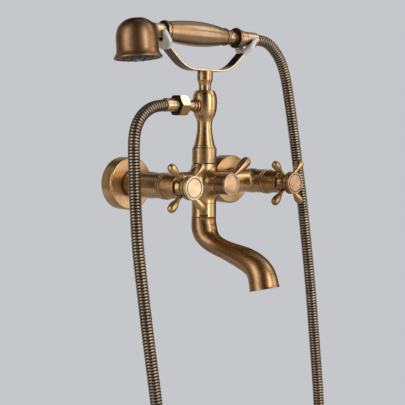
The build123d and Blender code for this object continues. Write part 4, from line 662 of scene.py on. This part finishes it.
def hose_surface():
    """Points and faces of the ribbed hose, and how far up its ridge each point lies, from 0 to 1."""
    ridges = round(hose_length / RIDGE_PITCH)
    stations = []
    for ridge in range(ridges):
        stations += [((ridge + share) * hose_length / ridges, crest) for share, crest in RIDGE_SHAPE]
    stations.append((hose_length, 0.0))
    points, crests = [], []
    for distance, crest in stations:
        middle = Vector(along_hose(distance))
        ahead = along_hose(min(distance + TANGENT_REACH, hose_length))
        behind = along_hose(max(distance - TANGENT_REACH, 0))
        way = Vector(ahead - behind).normalized()
        across = Vector(BACK).cross(way).normalized()
        over = way.cross(across)
        reach = HOSE_RADIUS - RIDGE_DEPTH * (1 - crest)
        for k in range(HOSE_SEGMENTS):
            angle = 2 * math.pi * k / HOSE_SEGMENTS
            points.append(tuple(middle + (across * math.cos(angle) + over * math.sin(angle)) * reach))
            crests.append(crest)
    return points, ring_faces(len(stations), HOSE_SEGMENTS), crests


def hose_metal():
    """Antique brass spiral, with painted shade that makes its grooves dark, and lighter on its ridges."""
    tree = Tree("hose_spiral")
    crest = tree.add("ShaderNodeAttribute", attribute_name="crest", out="Fac")
    stain = tree.noise(tree.place(), 60.0, 4.0, 0.65)
    tone = tree.mix(tree.spread(stain, 0.3, 0.7), linear(116, 94, 64), linear(176, 150, 114))
    colour = tree.mix(tree.spread(crest, 0.7, 1.0), linear(12, 7, 5), tone)
    gloss = tree.spread(crest, 0.2, 1.0, 0.6, 0.36)
    return tree.set(Base_Color=colour, Metallic=1.0, Roughness=gloss, Coat_Weight=0.5, Coat_IOR=1.8,
                    Coat_Roughness=0.25)


hose_points, hose_faces, hose_crests = hose_surface()
hose_mesh = bpy.data.meshes.new("hose")
hose_mesh.from_pydata([tuple(c * MM for c in point) for point in hose_points], [], hose_faces)
hose_mesh.attributes.new("crest", "FLOAT", "POINT").data.foreach_set("value", hose_crests)
hose_mesh.shade_smooth()
hose_mesh.materials.append(hose_metal())
hose = link_object("hose", hose_mesh)
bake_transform(hose)
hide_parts("shower_hose")

# Mixer body, one casting with soft blends, trimmed square where its turned ends meet it

LEG_RADIUS, CROSS_RADIUS, HUB_RADIUS, BOSS_RADIUS = 13.0, 12.3, 13.2, 12.0
HUB_TOP, HUB_FOOT = 20.0, -21.3
LEG_BACK, LEG_FRONT, LEG_SIDE, BOSS_FRONT = 13.6, 67.8, 45.0, 73.3
HUB_BLEND, LEG_BLEND, BOSS_BLEND = 12.0, 4.0, 6.0


def body_field(place):
    """The distance from the cross tube, hub, two legs and diverter's boss, blended into each other."""
    x, y = place[..., 0], place[..., 1]
    cross = np.maximum(bar(place, RISER, RIGHT, CROSS_RADIUS), np.abs(x) - INLET_X)
    body = smooth_join(cross, bar(place, RISER, UP, HUB_RADIUS), HUB_BLEND)
    for inlet in (left_inlet, right_inlet):
        body = smooth_join(body, bar(place, inlet, BACK, LEG_RADIUS), LEG_BLEND)
    boss = np.maximum(bar(place, ORIGIN, BACK, BOSS_RADIUS), y + BODY_OUT)
    return smooth_join(body, boss, BOSS_BLEND)


def body_casting():
    """The blended skin with its turned ends: hub, boss, and each leg's back and beads."""
    casting = skin(body_field, (-90, -75.5, -23.5), (90, -11.5, 22.5), cell=0.75)
    casting = trimmed(casting, (0, 0, HUB_TOP), UP)
    casting = trimmed(casting, (0, 0, HUB_FOOT), DOWN)
    casting = trimmed(casting, (0, -LEG_BACK, 0), BACK)
    casting = trimmed(casting, (0, -LEG_FRONT, 0), OUT, lambda co: abs(co.x) > LEG_SIDE)
    casting = trimmed(casting, (0, -BOSS_FRONT, 0), OUT)
    top = rounded([(HUB_RADIUS, 19.9), (HUB_RADIUS, 20.4, 0.4), (9.0, 20.4)])
    foot = rounded([(HUB_RADIUS, -21.2), (HUB_RADIUS, -21.7, 0.4), (9.0, -21.7)])
    boss_end = rounded([(BOSS_RADIUS, 73.2), (BOSS_RADIUS, 73.7, 0.4), (8.2, 73.7)])
    beads = rounded([
        (12.9, 67.6), (12.5, 68.0, 0.1), (13.7, 68.5, 0.35), (13.7, 69.7, 0.4), (12.4, 70.5, 0.15),
        (13.7, 71.3, 0.4), (13.7, 72.9, 0.4), (12.9, 73.6, 0.2), (9.2, 73.6)])
    back = [(LEG_RADIUS, LEG_BACK), (9.6, LEG_BACK)]
    casting = join(casting, lathe_mesh(top, RISER, UP), lathe_mesh(foot, RISER, UP),
                   lathe_mesh(boss_end, ORIGIN, OUT))
    for inlet in (left_inlet, right_inlet):
        casting = join(casting, lathe_mesh(beads, inlet, OUT), lathe_mesh(back, inlet, OUT))
    return casting


piece("body_casting", *body_casting(), "mixer", "antique_brass", brass["body"], ("mixer_body",), 32)

# Spout collar, with its notch toward the camera

COLLAR_RADIUS, COLLAR_BORE = 13.1, 9.2
NOTCH_LOW, NOTCH_HIGH, NOTCH_HALF, NOTCH_FLOOR = -36.0, -33.7, 4.4, 11.3
DIAGONAL = math.sqrt(0.5)
spout_collar_outline = rounded([
    (COLLAR_BORE, -36.7), (12.75, -36.7, 0.2), (COLLAR_RADIUS, -36.2, 0.3), (COLLAR_RADIUS, -21.9, 0.2),
    (12.9, -21.75), (COLLAR_BORE, -21.75)], True)


def spout_collar_field(place):
    """The distance from the collar less its notch, which lies half way between left and out."""
    offset = place - np.array(RISER)
    x, y, height = offset[..., 0], offset[..., 1], offset[..., 2]
    collar = section(spout_collar_outline, np.hypot(x, y), height)
    spoke, level = -(x + y) * DIAGONAL, (x - y) * DIAGONAL
    notch = np.maximum.reduce([
        np.abs(level) - NOTCH_HALF, NOTCH_FLOOR - spoke, NOTCH_LOW - height, height - NOTCH_HIGH])
    return np.maximum(collar, -notch)


spout_ring = skin(spout_collar_field, (-14.5, -62.0, -37.6), (14.5, -33.0, -20.8), cell=0.45)
piece("spout_ring", *spout_ring, "mixer", "antique_brass", brass["riser"], ("spout_collar",), 30)

# Wall flanges

flange_outline = rounded([
    (13.2, 15.9, 0.2), (27.6, 15.9, 1.5), (27.6, 0, 0.3), (25.8, 0), (25.8, 14.1), (13.2, 14.1)], True)
for side, inlet in (("left", left_inlet), ("right", right_inlet)):
    lathe(f"{side}_flange_shell", flange_outline, inlet, OUT, "mixer", "antique_brass", brass[side],
          (f"{side}_wall_flange",), 128, closed=True)

# Valves: bonnet, cross handle and index cap on each leg

SPOKE_OUT = 100.8
bonnet_outline = rounded([
    (10.0, 73.6), (12.6, 73.6, 0.2), (11.4, 91.5, 0.5), (9.3, 91.5, 0.2), (9.3, 89.7), (10.0, 89.7)], True)
handle_hub_outline = rounded([
    (0, 92.0), (8.7, 92.0, 0.4), *smooth_run([(8.6, 93.2), (7.3, 97.0), (9.6, 103.2)], 6),
    (12.2, 104.6, 0.3), (12.2, 107.0, 0.5), (0, 107.0)])
index_outline = rounded([
    (0, 107.0), (10.9, 107.0), (10.9, 108.3, 0.1), (11.9, 108.3, 0.3), (11.9, 112.2, 0.5),
    (10.1, 112.2, 0.2), (9.9, 111.4, 0.1), (9.2, 111.4, 0.1), (9.0, 112.0, 0.2), (0, 111.9)])
spoke_outline = [(0, 7.0), (1.9, 7.0)] + smooth_run(
    [(1.9, 11.5), (2.5, 17.5), (4.1, 23.0), (4.5, 26.6), (3.5, 30.4), (0, 32.2)], 6, (0, 1), (-1, 0))


def cross_handle(inlet):
    """The handle's hub with four drop-shaped spokes."""
    handle = lathe_mesh(handle_hub_outline, inlet, OUT)
    for spoke in range(4):
        angle = math.radians(45 + 90 * spoke)
        way = (math.cos(angle), 0, math.sin(angle))
        handle = join(handle, lathe_mesh(spoke_outline, (inlet[0], -SPOKE_OUT, 0), way, 40, guide=BACK))
    return handle


for water, side, inlet in (("hot", "left", left_inlet), ("cold", "right", right_inlet)):
    lathe(f"{water}_bonnet_shell", bonnet_outline, inlet, OUT, "mixer", "antique_brass", brass[side],
          (f"{water}_bonnet",), closed=True)
    piece(f"{water}_cross", *cross_handle(inlet), f"{water}_handle", "antique_brass", brass[side],
          (f"{water}_cross_handle",))
    lathe(f"{water}_index", index_outline, inlet, OUT, f"{water}_handle", "antique_brass", disc_brass[side],
          (f"{water}_index_cap",))

# Diverter: knob, cap and lever

drum_outline = rounded([
    (0, 77.1), (8.9, 77.1), (8.9, 74.1, 0.3), (11.3, 74.1, 0.3), (11.3, 83.4, 0.1), (10.8, 83.9, 0.1),
    (11.3, 84.4, 0.1), (11.3, 87.0, 0.2), (0, 87.0)])
lathe("diverter_drum", drum_outline, ORIGIN, OUT, "diverter", "antique_brass", drum_brass,
      ("diverter_knob",))
disc_outline = rounded([
    (0, 87.0), (11.5, 87.0, 0.2), (11.5, 89.4, 0.4), (10.4, 89.4, 0.2), (10.2, 88.8, 0.1), (9.7, 88.8, 0.1),
    (9.3, 89.0), (6.0, 89.4), (3.0, 89.6), (0, 89.7)])
lathe("diverter_disc", disc_outline, ORIGIN, OUT, "diverter", "antique_brass", disc_brass["middle"],
      ("diverter_cap",))
lever_swell = [(2.4, 16.5), (3.4, 21.5), (4.8, 28.5), (5.4, 35.0), (4.6, 40.3), (0, 43.4)]
lever_outline = rounded([
    (0, 9.0), (3.3, 9.0), (3.3, 12.4, 0.4), (2.6, 12.9, 0.2), (3.2, 13.5, 0.3), (3.2, 14.6, 0.3),
    (2.3, 15.2, 0.2), *smooth_run(lever_swell, 7, (0, 1), (-1, 0))])
lathe("diverter_arm", lever_outline, LEVER_ROOT, LEVER_WAY, "diverter", "antique_brass", lever_brass,
      ("diverter_lever",), 48)

# Riser: collar, column, outlet and its nut

collar_outline = rounded([(9.2, 21.3), (13.15, 21.3, 0.4), (13.15, 37.4, 0.4), (9.2, 37.4)], True)
lathe("riser_collar_shell", collar_outline, RISER, UP, "mixer", "antique_brass", collar_brass,
      ("riser_collar",), closed=True)
column_waist = [
    (10.87, 40.9), (9.17, 49.0), (7.99, 57.2), (8.65, 67.1), (11.4, 72.9), (13.1, 84.0), (11.8, 95.0),
    (10.1, 98.2)]
column_outline = rounded([
    (0, 37.4), (11.5, 37.4), (11.9, 37.8, 0.2), (11.9, 40.1, 0.5), (10.95, 40.4),
    *smooth_run(column_waist), (9.7, 98.5), (0, 98.5)])
lathe("riser_post", column_outline, RISER, UP, "mixer", "antique_brass", brass["riser"], ("riser_column",))
outlet_outline = rounded([
    (0, 9.2), (5.0, 9.2), (5.0, 12.4), (7.0, 13.0, 0.4), (7.0, 15.0, 0.4),
    *smooth_run([(5.0, 15.4), (6.3, 17.1), (5.0, 18.8)], 5, (1, 0), (-1, 0)),
    (5.0, 28.0), (9.4, 28.2, 0.4), (9.4, 30.2), (8.2, 30.3), (8.2, 37.6), (0, 37.6)])
lathe("outlet_stub", outlet_outline, OUTLET, LEFT, "mixer", "antique_brass", stub_brass, ("hose_outlet",), 64)

NUT_FLAT = 10.4
nut_outline = [
    (0, 30.0), (10.0, 30.0), (10.8, 30.15), (11.4, 30.55), (11.9, 31.1), (12.2, 32.4), (12.2, 39.5),
    (11.9, 40.8), (11.4, 41.4), (10.8, 41.8), (10.0, 41.95), (0, 41.95)]


def hexagon(radius, turn):
    """The reach of a hexagonal nut, whose corners are turned off by its outline at its two faces."""
    flat = NUT_FLAT / math.cos(turn % (math.pi / 3) - math.pi / 6)
    return min(radius, flat)


hex_nut = lathe_mesh(nut_outline, OUTLET, LEFT, 144, radius_at=hexagon)
piece("hex_nut", *hex_nut, "mixer", "antique_brass", nut_brass, ("hose_hex_nut",), 24)
ferrule_outline = rounded([
    (0, 40.7), (6.7, 40.7), (6.7, 44.0, 0.1), (6.2, 44.4, 0.1), (6.7, 44.8, 0.1), (6.7, 49.0, 0.1),
    (6.4, 49.4, 0.1), (7.1, 49.9, 0.2), (7.1, 57.4, 0.5), (6.2, 57.6), (0, 57.6)])
lathe("outlet_ferrule", ferrule_outline, OUTLET, LEFT, "mixer", "antique_brass", ferrule_brass,
      ("hose_ferrule",), 64)

# Cradle: stem, strap and forks

stem_outline = rounded([
    (0, 98.5), (6.4, 98.5, 0.2), *smooth_run([(6.4, 103.0), (7.2, 106.8), (8.3, 110.5)], 6, (0, 1), (0, 1)),
    (8.3, CRADLE_Z), (0, CRADLE_Z)])
lathe("cradle_post", stem_outline, RISER, UP, "mixer", "antique_brass", brass["riser"], ("cradle_stem",))

STRAP_HALF, STRAP_THICK, STRAP_ROUND, STRAP_TURN = 6.5, 2.2, 0.55, math.radians(41)
BEND_X, BEND_Z, BEND_RADIUS = 16.59, 159.0, 38.9
FOOT_X, FOOT_Z = 56.48, 142.14
FLAT_STEPS, BEND_STEPS = 6, 16


def strap_mesh():
    """The strap: a flat bar with rounded edges along its bent line of x, z and turn."""
    bottom = BEND_Z - BEND_RADIUS
    half = [(BEND_X * k / FLAT_STEPS, bottom, 0.0) for k in range(1, FLAT_STEPS)]
    for k in range(BEND_STEPS + 1):
        turn = STRAP_TURN * k / BEND_STEPS
        half.append((BEND_X + BEND_RADIUS * math.sin(turn), BEND_Z - BEND_RADIUS * math.cos(turn), turn))
    end_x, end_z, _ = half[-1]
    for k in range(1, FLAT_STEPS + 1):
        share = k / FLAT_STEPS
        half.append((end_x + (FOOT_X - end_x) * share, end_z + (FOOT_Z - end_z) * share, STRAP_TURN))
    line = [(-x, z, -turn) for x, z, turn in reversed(half)] + [(0, bottom, 0.0)] + half
    corners = [(across * STRAP_HALF, up * STRAP_THICK / 2, STRAP_ROUND) for across, up in SQUARE]
    edge = rounded(corners, True, 3)
    points = []
    for x, z, turn in line:
        away_x, away_z = -math.sin(turn), math.cos(turn)
        points += [(x + away_x * up, -BODY_OUT + across, z + away_z * up) for across, up in edge]
    return points, ring_faces(len(line), len(edge))


piece("strap", *strap_mesh(), "mixer", "strap_bronze", bronze, ("cradle_strap",), 40)

FORK_LEAN = math.radians(36)
FORK_LOW, FORK_HIGH, FORK_THICK = -3.4, 18.8, 5.4
FORK_FOOT_HALF, FORK_ARM, FORK_FLARE = 6.9, 4.9, 9.0
FORK_ROUND, SLOT_ROUND = 2.6, 2.6
SLOT_DROP = 0.5
RELIEF_RADIUS, RELIEF_RISE = 4.6, 2.5


def fork_mesh(way, slot_radius):
    """A moulded fork on an end of the strap, with a relief under what lies in it; way is -1 for the left."""
    rise = np.array((way * math.sin(FORK_LEAN), 0, math.cos(FORK_LEAN)))
    across = np.array((math.cos(FORK_LEAN), 0, -way * math.sin(FORK_LEAN)))
    foot = np.array((way * FOOT_X, -BODY_OUT, FOOT_Z))

    def fork_field(place):
        offset = place - foot
        up, deep, aside = offset @ rise, offset @ across, offset[..., 1]
        grown = np.clip((up - FORK_LOW) / FORK_FLARE, 0, 1)
        widening = slot_radius + FORK_ARM - FORK_FOOT_HALF
        half = FORK_FOOT_HALF + widening * grown * grown * (3 - 2 * grown)
        ends = np.maximum(FORK_LOW - up, up - FORK_HIGH)
        walls = (np.abs(aside) - half, np.abs(deep) - FORK_THICK / 2, ends)
        edge = np.stack([np.maximum(wall + FORK_ROUND, 0) for wall in walls])
        within = np.minimum(np.maximum.reduce(walls) + FORK_ROUND, 0)
        plate = within + np.sqrt((edge ** 2).sum(0)) - FORK_ROUND
        height = place[..., 2] - (HAND_Z - SLOT_DROP)
        slot = open_slot(aside, height, slot_radius)
        relief = open_slot(aside, height + slot_radius - RELIEF_RISE, RELIEF_RADIUS)
        return smooth_cut(plate, np.minimum(slot, relief), SLOT_ROUND)

    near, far = sorted((way * 50.0, way * 74.0))
    return skin(fork_field, (near, -64, 137), (far, -31, 163), cell=0.5)


for side, way, slot_radius in (("left", -1, 7.7), ("right", 1, 8.4)):
    piece(f"{side}_fork", *fork_mesh(way, slot_radius), "mixer", "fork_plastic", ivory,
          (f"{side}_cradle_fork",), 60)

# Handset: bell with its neck, spray plate, nozzles and screw

BELL_RADIUS, NECK_RADIUS, NECK_BLEND = 21.2, 7.3, 8.0
NECK_START, NECK_END = HEAD_X + 4, -60.2
CROWN_HEIGHT, SEAM_HEIGHT = 40.3, 12.0
crown = smooth_run(
    [(BELL_RADIUS, 15.0), (20.8, 24.0), (17.8, 32.4), (10.5, 38.4), (0, CROWN_HEIGHT)], 8, (0, 1), (-1, 0))
bell_solid = [(BELL_RADIUS, 6.0)] + crown + [(-6.0, CROWN_HEIGHT), (-6.0, 6.0)]


def bell_field(place):
    """The distance from the bell's crown, blended into the neck that joins it to the handle."""
    offset = place - np.array(HEAD)
    height = offset @ np.array(HEAD_UP)
    radius = np.linalg.norm(offset - height[..., None] * np.array(HEAD_UP), axis=-1)
    x = place[..., 0]
    neck = np.maximum(bar(place, HAND, RIGHT, NECK_RADIUS), np.maximum(x - NECK_END, NECK_START - x))
    return smooth_join(section(bell_solid, radius, height), neck, NECK_BLEND)


bell_top = skin(bell_field, (-118, -78, 128), (-59, -22, 170), cell=0.7)
bell_top = trimmed(bell_top, HEAD + HEAD_UP * SEAM_HEIGHT, -HEAD_UP)
bell_outline = rounded([
    *smooth_run([(0, 38.2), (15.4, 31.4), (19.4, 15.0)], 8, (1, 0), (0, -1)),
    (19.4, 3.6), (21.95, 3.4), (21.95, 0.2), (22.6, 0, 0.2), (24.4, 0, 0.4), (24.6, 1.3, 0.3),
    *smooth_run([(23.6, 2.6), (22.0, 5.4), (BELL_RADIUS, 9.5)], 5, None, (0, 1)), (BELL_RADIUS, 12.05)])
bell_shape = join(bell_top, lathe_mesh(bell_outline, HEAD, HEAD_UP, 128))
piece("bell", *bell_shape, "handset", "handset_brass", bell_brass, ("handset_head", "handset_neck"), 40)
plate_outline = rounded([
    (0, 3.2), (21.7, 3.2), (21.7, 0.9, 0.3),
    *smooth_run([(20.4, 0.5), (14.0, -0.5), (0, -1.3)], 6, None, (-1, 0))])
lathe("spray_face", plate_outline, HEAD, HEAD_UP, "handset", "handset_brass", plate_brass, ("spray_plate",))

NOZZLE_RING = 7.4
nozzle_outline = rounded([
    (0, 1.6), (1.25, 1.6), (1.15, -1.0, 0.3), (0.7, -2.2, 0.2), (0.45, -2.2), (0.4, -1.2), (0, -1.2)])


def nozzle_rings():
    """Six and twelve nozzles on the domed plate; sag is how much higher the outer ring sits."""
    aside = HEAD_UP.cross(Vector(BACK)).normalized()
    front = HEAD_UP.cross(aside)
    nozzles = ([], [])
    for ring, sag in ((1, 0.0), (2, 0.7)):
        for k in range(6 * ring):
            turn = 2 * math.pi * k / (6 * ring)
            spoke = aside * math.cos(turn) + front * math.sin(turn)
            at = HEAD + spoke * NOZZLE_RING * ring + HEAD_UP * sag
            nozzles = join(nozzles, lathe_mesh(nozzle_outline, at, HEAD_UP, 20))
    return nozzles


piece("nozzles", *nozzle_rings(), "handset", "nozzle_rubber", silicone, ("spray_nozzles",))
screw_outline = rounded([
    (0, 1.0), (1.5, 1.0), (1.5, -0.9), (2.7, -0.9, 0.2), (2.5, -1.9, 0.4), (1.1, -2.1), (1.0, -1.3),
    (0, -1.3)])
lathe("face_screw", screw_outline, HEAD, HEAD_UP, "handset", "screw_steel", steel, ("spray_plate_screw",), 32)

# Handset: the turned pieces along the handle

BORE = 5.05
ring_outline = rounded([
    (BORE, -60.2), (10.5, -60.2, 0.4), (10.9, -58.6, 0.5), (10.6, -56.4, 0.6), (9.5, -55.3, 0.2),
    (9.5, -54.8), (BORE, -54.8)], True, 5)
grip_swell = [(10.4, -52.5), (12.4, -34.0), (13.2, -15.3), (12.3, 4.0), (10.2, 19.5), (8.95, 26.2)]
grip_outline = rounded([
    (BORE, -54.8), (10.0, -54.8, 0.6), *smooth_run(grip_swell), (8.2, 26.6, 0.1), (8.2, 27.3, 0.1),
    (BORE, 27.3)], True)
end_ring_outline = rounded([
    (BORE, 27.3), (9.4, 27.3, 0.5), (9.6, 28.4, 0.4), (9.4, 29.5, 0.3), (8.0, 29.8, 0.2), (8.0, 30.4, 0.2),
    (8.6, 31.0, 0.3), (8.6, 32.0, 0.4), (7.4, 33.2), (BORE, 33.2)], True)
end_fitting_outline = rounded([
    (0, 33.2), (7.2, 33.2), *smooth_run([(7.2, 33.3), (8.1, 36.4), (7.2, 41.0), (6.6, 44.2)], 6),
    (6.7, 44.6, 0.2), (10.7, 44.8, 0.4), (11.3, 46.0, 0.5), (10.9, 47.8, 0.6), (9.6, 49.2, 0.4), (8.2, 51.6),
    (6.4, 51.6), (6.4, 60.0), (0, 60.0)])
cone_outline = rounded([
    (0, 48.0), (8.9, 48.0), (9.4, 50.0, 0.4), (8.9, 54.0, 0.6), (8.1, 60.5, 0.6), (8.0, 72.0, 0.3),
    (7.8, 76.5, 0.4), (6.5, 77.0, 0.2), (6.3, 78.0), (0, 78.0)])
for name, outline, material, node, hollow in (
        ("hand_ring", ring_outline, ring_brass, "handset_collar", True),
        ("grip", grip_outline, hand_brass, "handset_grip", True),
        ("end_ring", end_ring_outline, hand_brass, "handset_end_ring", True),
        ("end_ball", end_fitting_outline, ring_brass, "handset_end_fitting", False),
        ("cone_nut", cone_outline, cone_brass, "hose_cone_nut", False)):
    lathe(name, outline, HAND, RIGHT, "handset", "handset_brass", material, (node,), closed=hollow)

# Lights and cards, placed round the object in metres

CENTRE = Vector((0, -0.06, 0.02))


def toward(turn, rise, reach):
    """A place around the object: degrees to the camera's right, degrees up, and metres away."""
    turn, rise = math.radians(turn), math.radians(rise)
    level = TOWARD_CAMERA * math.cos(turn) + CAMERA_RIGHT * math.sin(turn)
    return CENTRE + (level * math.cos(rise) + Vector(UP) * math.sin(rise)) * reach


def aimed(name, data, place):
    """An object at this place that faces the centre and that the camera doesn't see."""
    made = link_object(name, data)
    made.location = place
    made.rotation_mode = "QUATERNION"
    made.rotation_quaternion = (CENTRE - place).to_track_quat("-Z", "Y")
    made.visible_camera = False
    return made


def flat_mesh(name, wide, tall, height, material):
    """A level rectangle."""
    mesh = bpy.data.meshes.new(name)
    mesh.from_pydata([(x * wide / 2, y * tall / 2, height) for x, y in SQUARE], [], [(0, 1, 2, 3)])
    mesh.materials.append(material)
    return mesh


def softbox(name, turn, rise, reach, wide, tall, radiance):
    """A rectangular lamp."""
    data = bpy.data.lights.new(name, "AREA")
    data.shape = "RECTANGLE"
    data.size, data.size_y = wide, tall
    data.energy = radiance * math.pi * wide * tall
    aimed(name, data, toward(turn, rise, reach))


def card(name, turn, rise, reach, wide, tall, tone):
    """A board beside the lamps, as a studio has to give metal its dark edges."""
    board = Tree(name).set(Base_Color=linear(tone, tone, tone), Roughness=0.9)
    aimed(name, flat_mesh(name, wide, tall, 0, board), toward(turn, rise, reach))


softbox("left_box", -54, 8, 2.2, 1.0, 2.4, 2.5)
softbox("right_box", 50, 10, 2.2, 0.75, 2.4, 4.6)
softbox("far_right_box", 90, 4, 2.4, 1.0, 1.2, 1.9)
softbox("right_top_box", 104, 40, 2.4, 1.0, 0.9, 2.4)
card("front_card", 0, 4, 2.7, 1.9, 3.6, 26)
card("left_card", -100, 0, 2.0, 1.4, 2.4, 120)
card("right_card", 150, 0, 2.0, 2.0, 3.2, 40)
card("front_top_card", 0, 48, 2.6, 2.2, 1.4, 40)
card("left_top_card", -110, 56, 2.4, 2.2, 1.6, 30)
card("top_card", 0, 80, 2.6, 1.8, 1.4, 30)
card("back_top_card", -162, 52, 2.6, 1.8, 1.6, 30)

# World

BACKGROUND = linear(197, 199, 203)
world = bpy.data.worlds.new("studio")
bpy.context.scene.world = world
world.use_nodes = True
backdrop = world.node_tree.nodes["Background"]
backdrop.inputs["Color"].default_value = BACKGROUND
backdrop.inputs["Strength"].default_value = 1.0

# The floor is pale, keeps the shadow near the object and runs into the background further out

FLOOR_Z, FLOOR_WIDE = -560.0, 16
FADE_START, FADE_END = 0.45, 1.05


def floor_material():
    """A pale floor that glows as the background does, further out and only where it is seen or reflected."""
    tree = Tree("floor")
    place = tree.place()
    grain = tree.noise(place, 30.0, 3.0, 0.5)
    tone = tree.mix(tree.spread(grain, 0.3, 0.7), linear(204, 206, 209), linear(210, 211, 214))
    tree.set(Base_Color=tone, Roughness=0.8)
    reach = tree.vector("LENGTH", tree.vector("MULTIPLY", place, (1, 1, 0)), out="Value")
    path = tree.tree.nodes.new("ShaderNodeLightPath").outputs
    seen = tree.math("ADD", path["Is Camera Ray"], path["Is Glossy Ray"])
    seen = tree.math("ADD", seen, path["Is Transmission Ray"], clamp=True)
    far = tree.math("MULTIPLY", tree.spread(reach, FADE_START, FADE_END), seen)
    glow = tree.add("ShaderNodeEmission", BACKGROUND, 1.0)
    shown = tree.add("ShaderNodeMixShader", far, tree.shader.outputs["BSDF"], glow)
    tree.put(tree.tree.nodes["Material Output"].inputs["Surface"], shown)
    return tree.material


link_object("floor", flat_mesh("floor", FLOOR_WIDE, FLOOR_WIDE, FLOOR_Z * MM, floor_material()))

bpy.context.scene.view_settings.view_transform = "Standard"
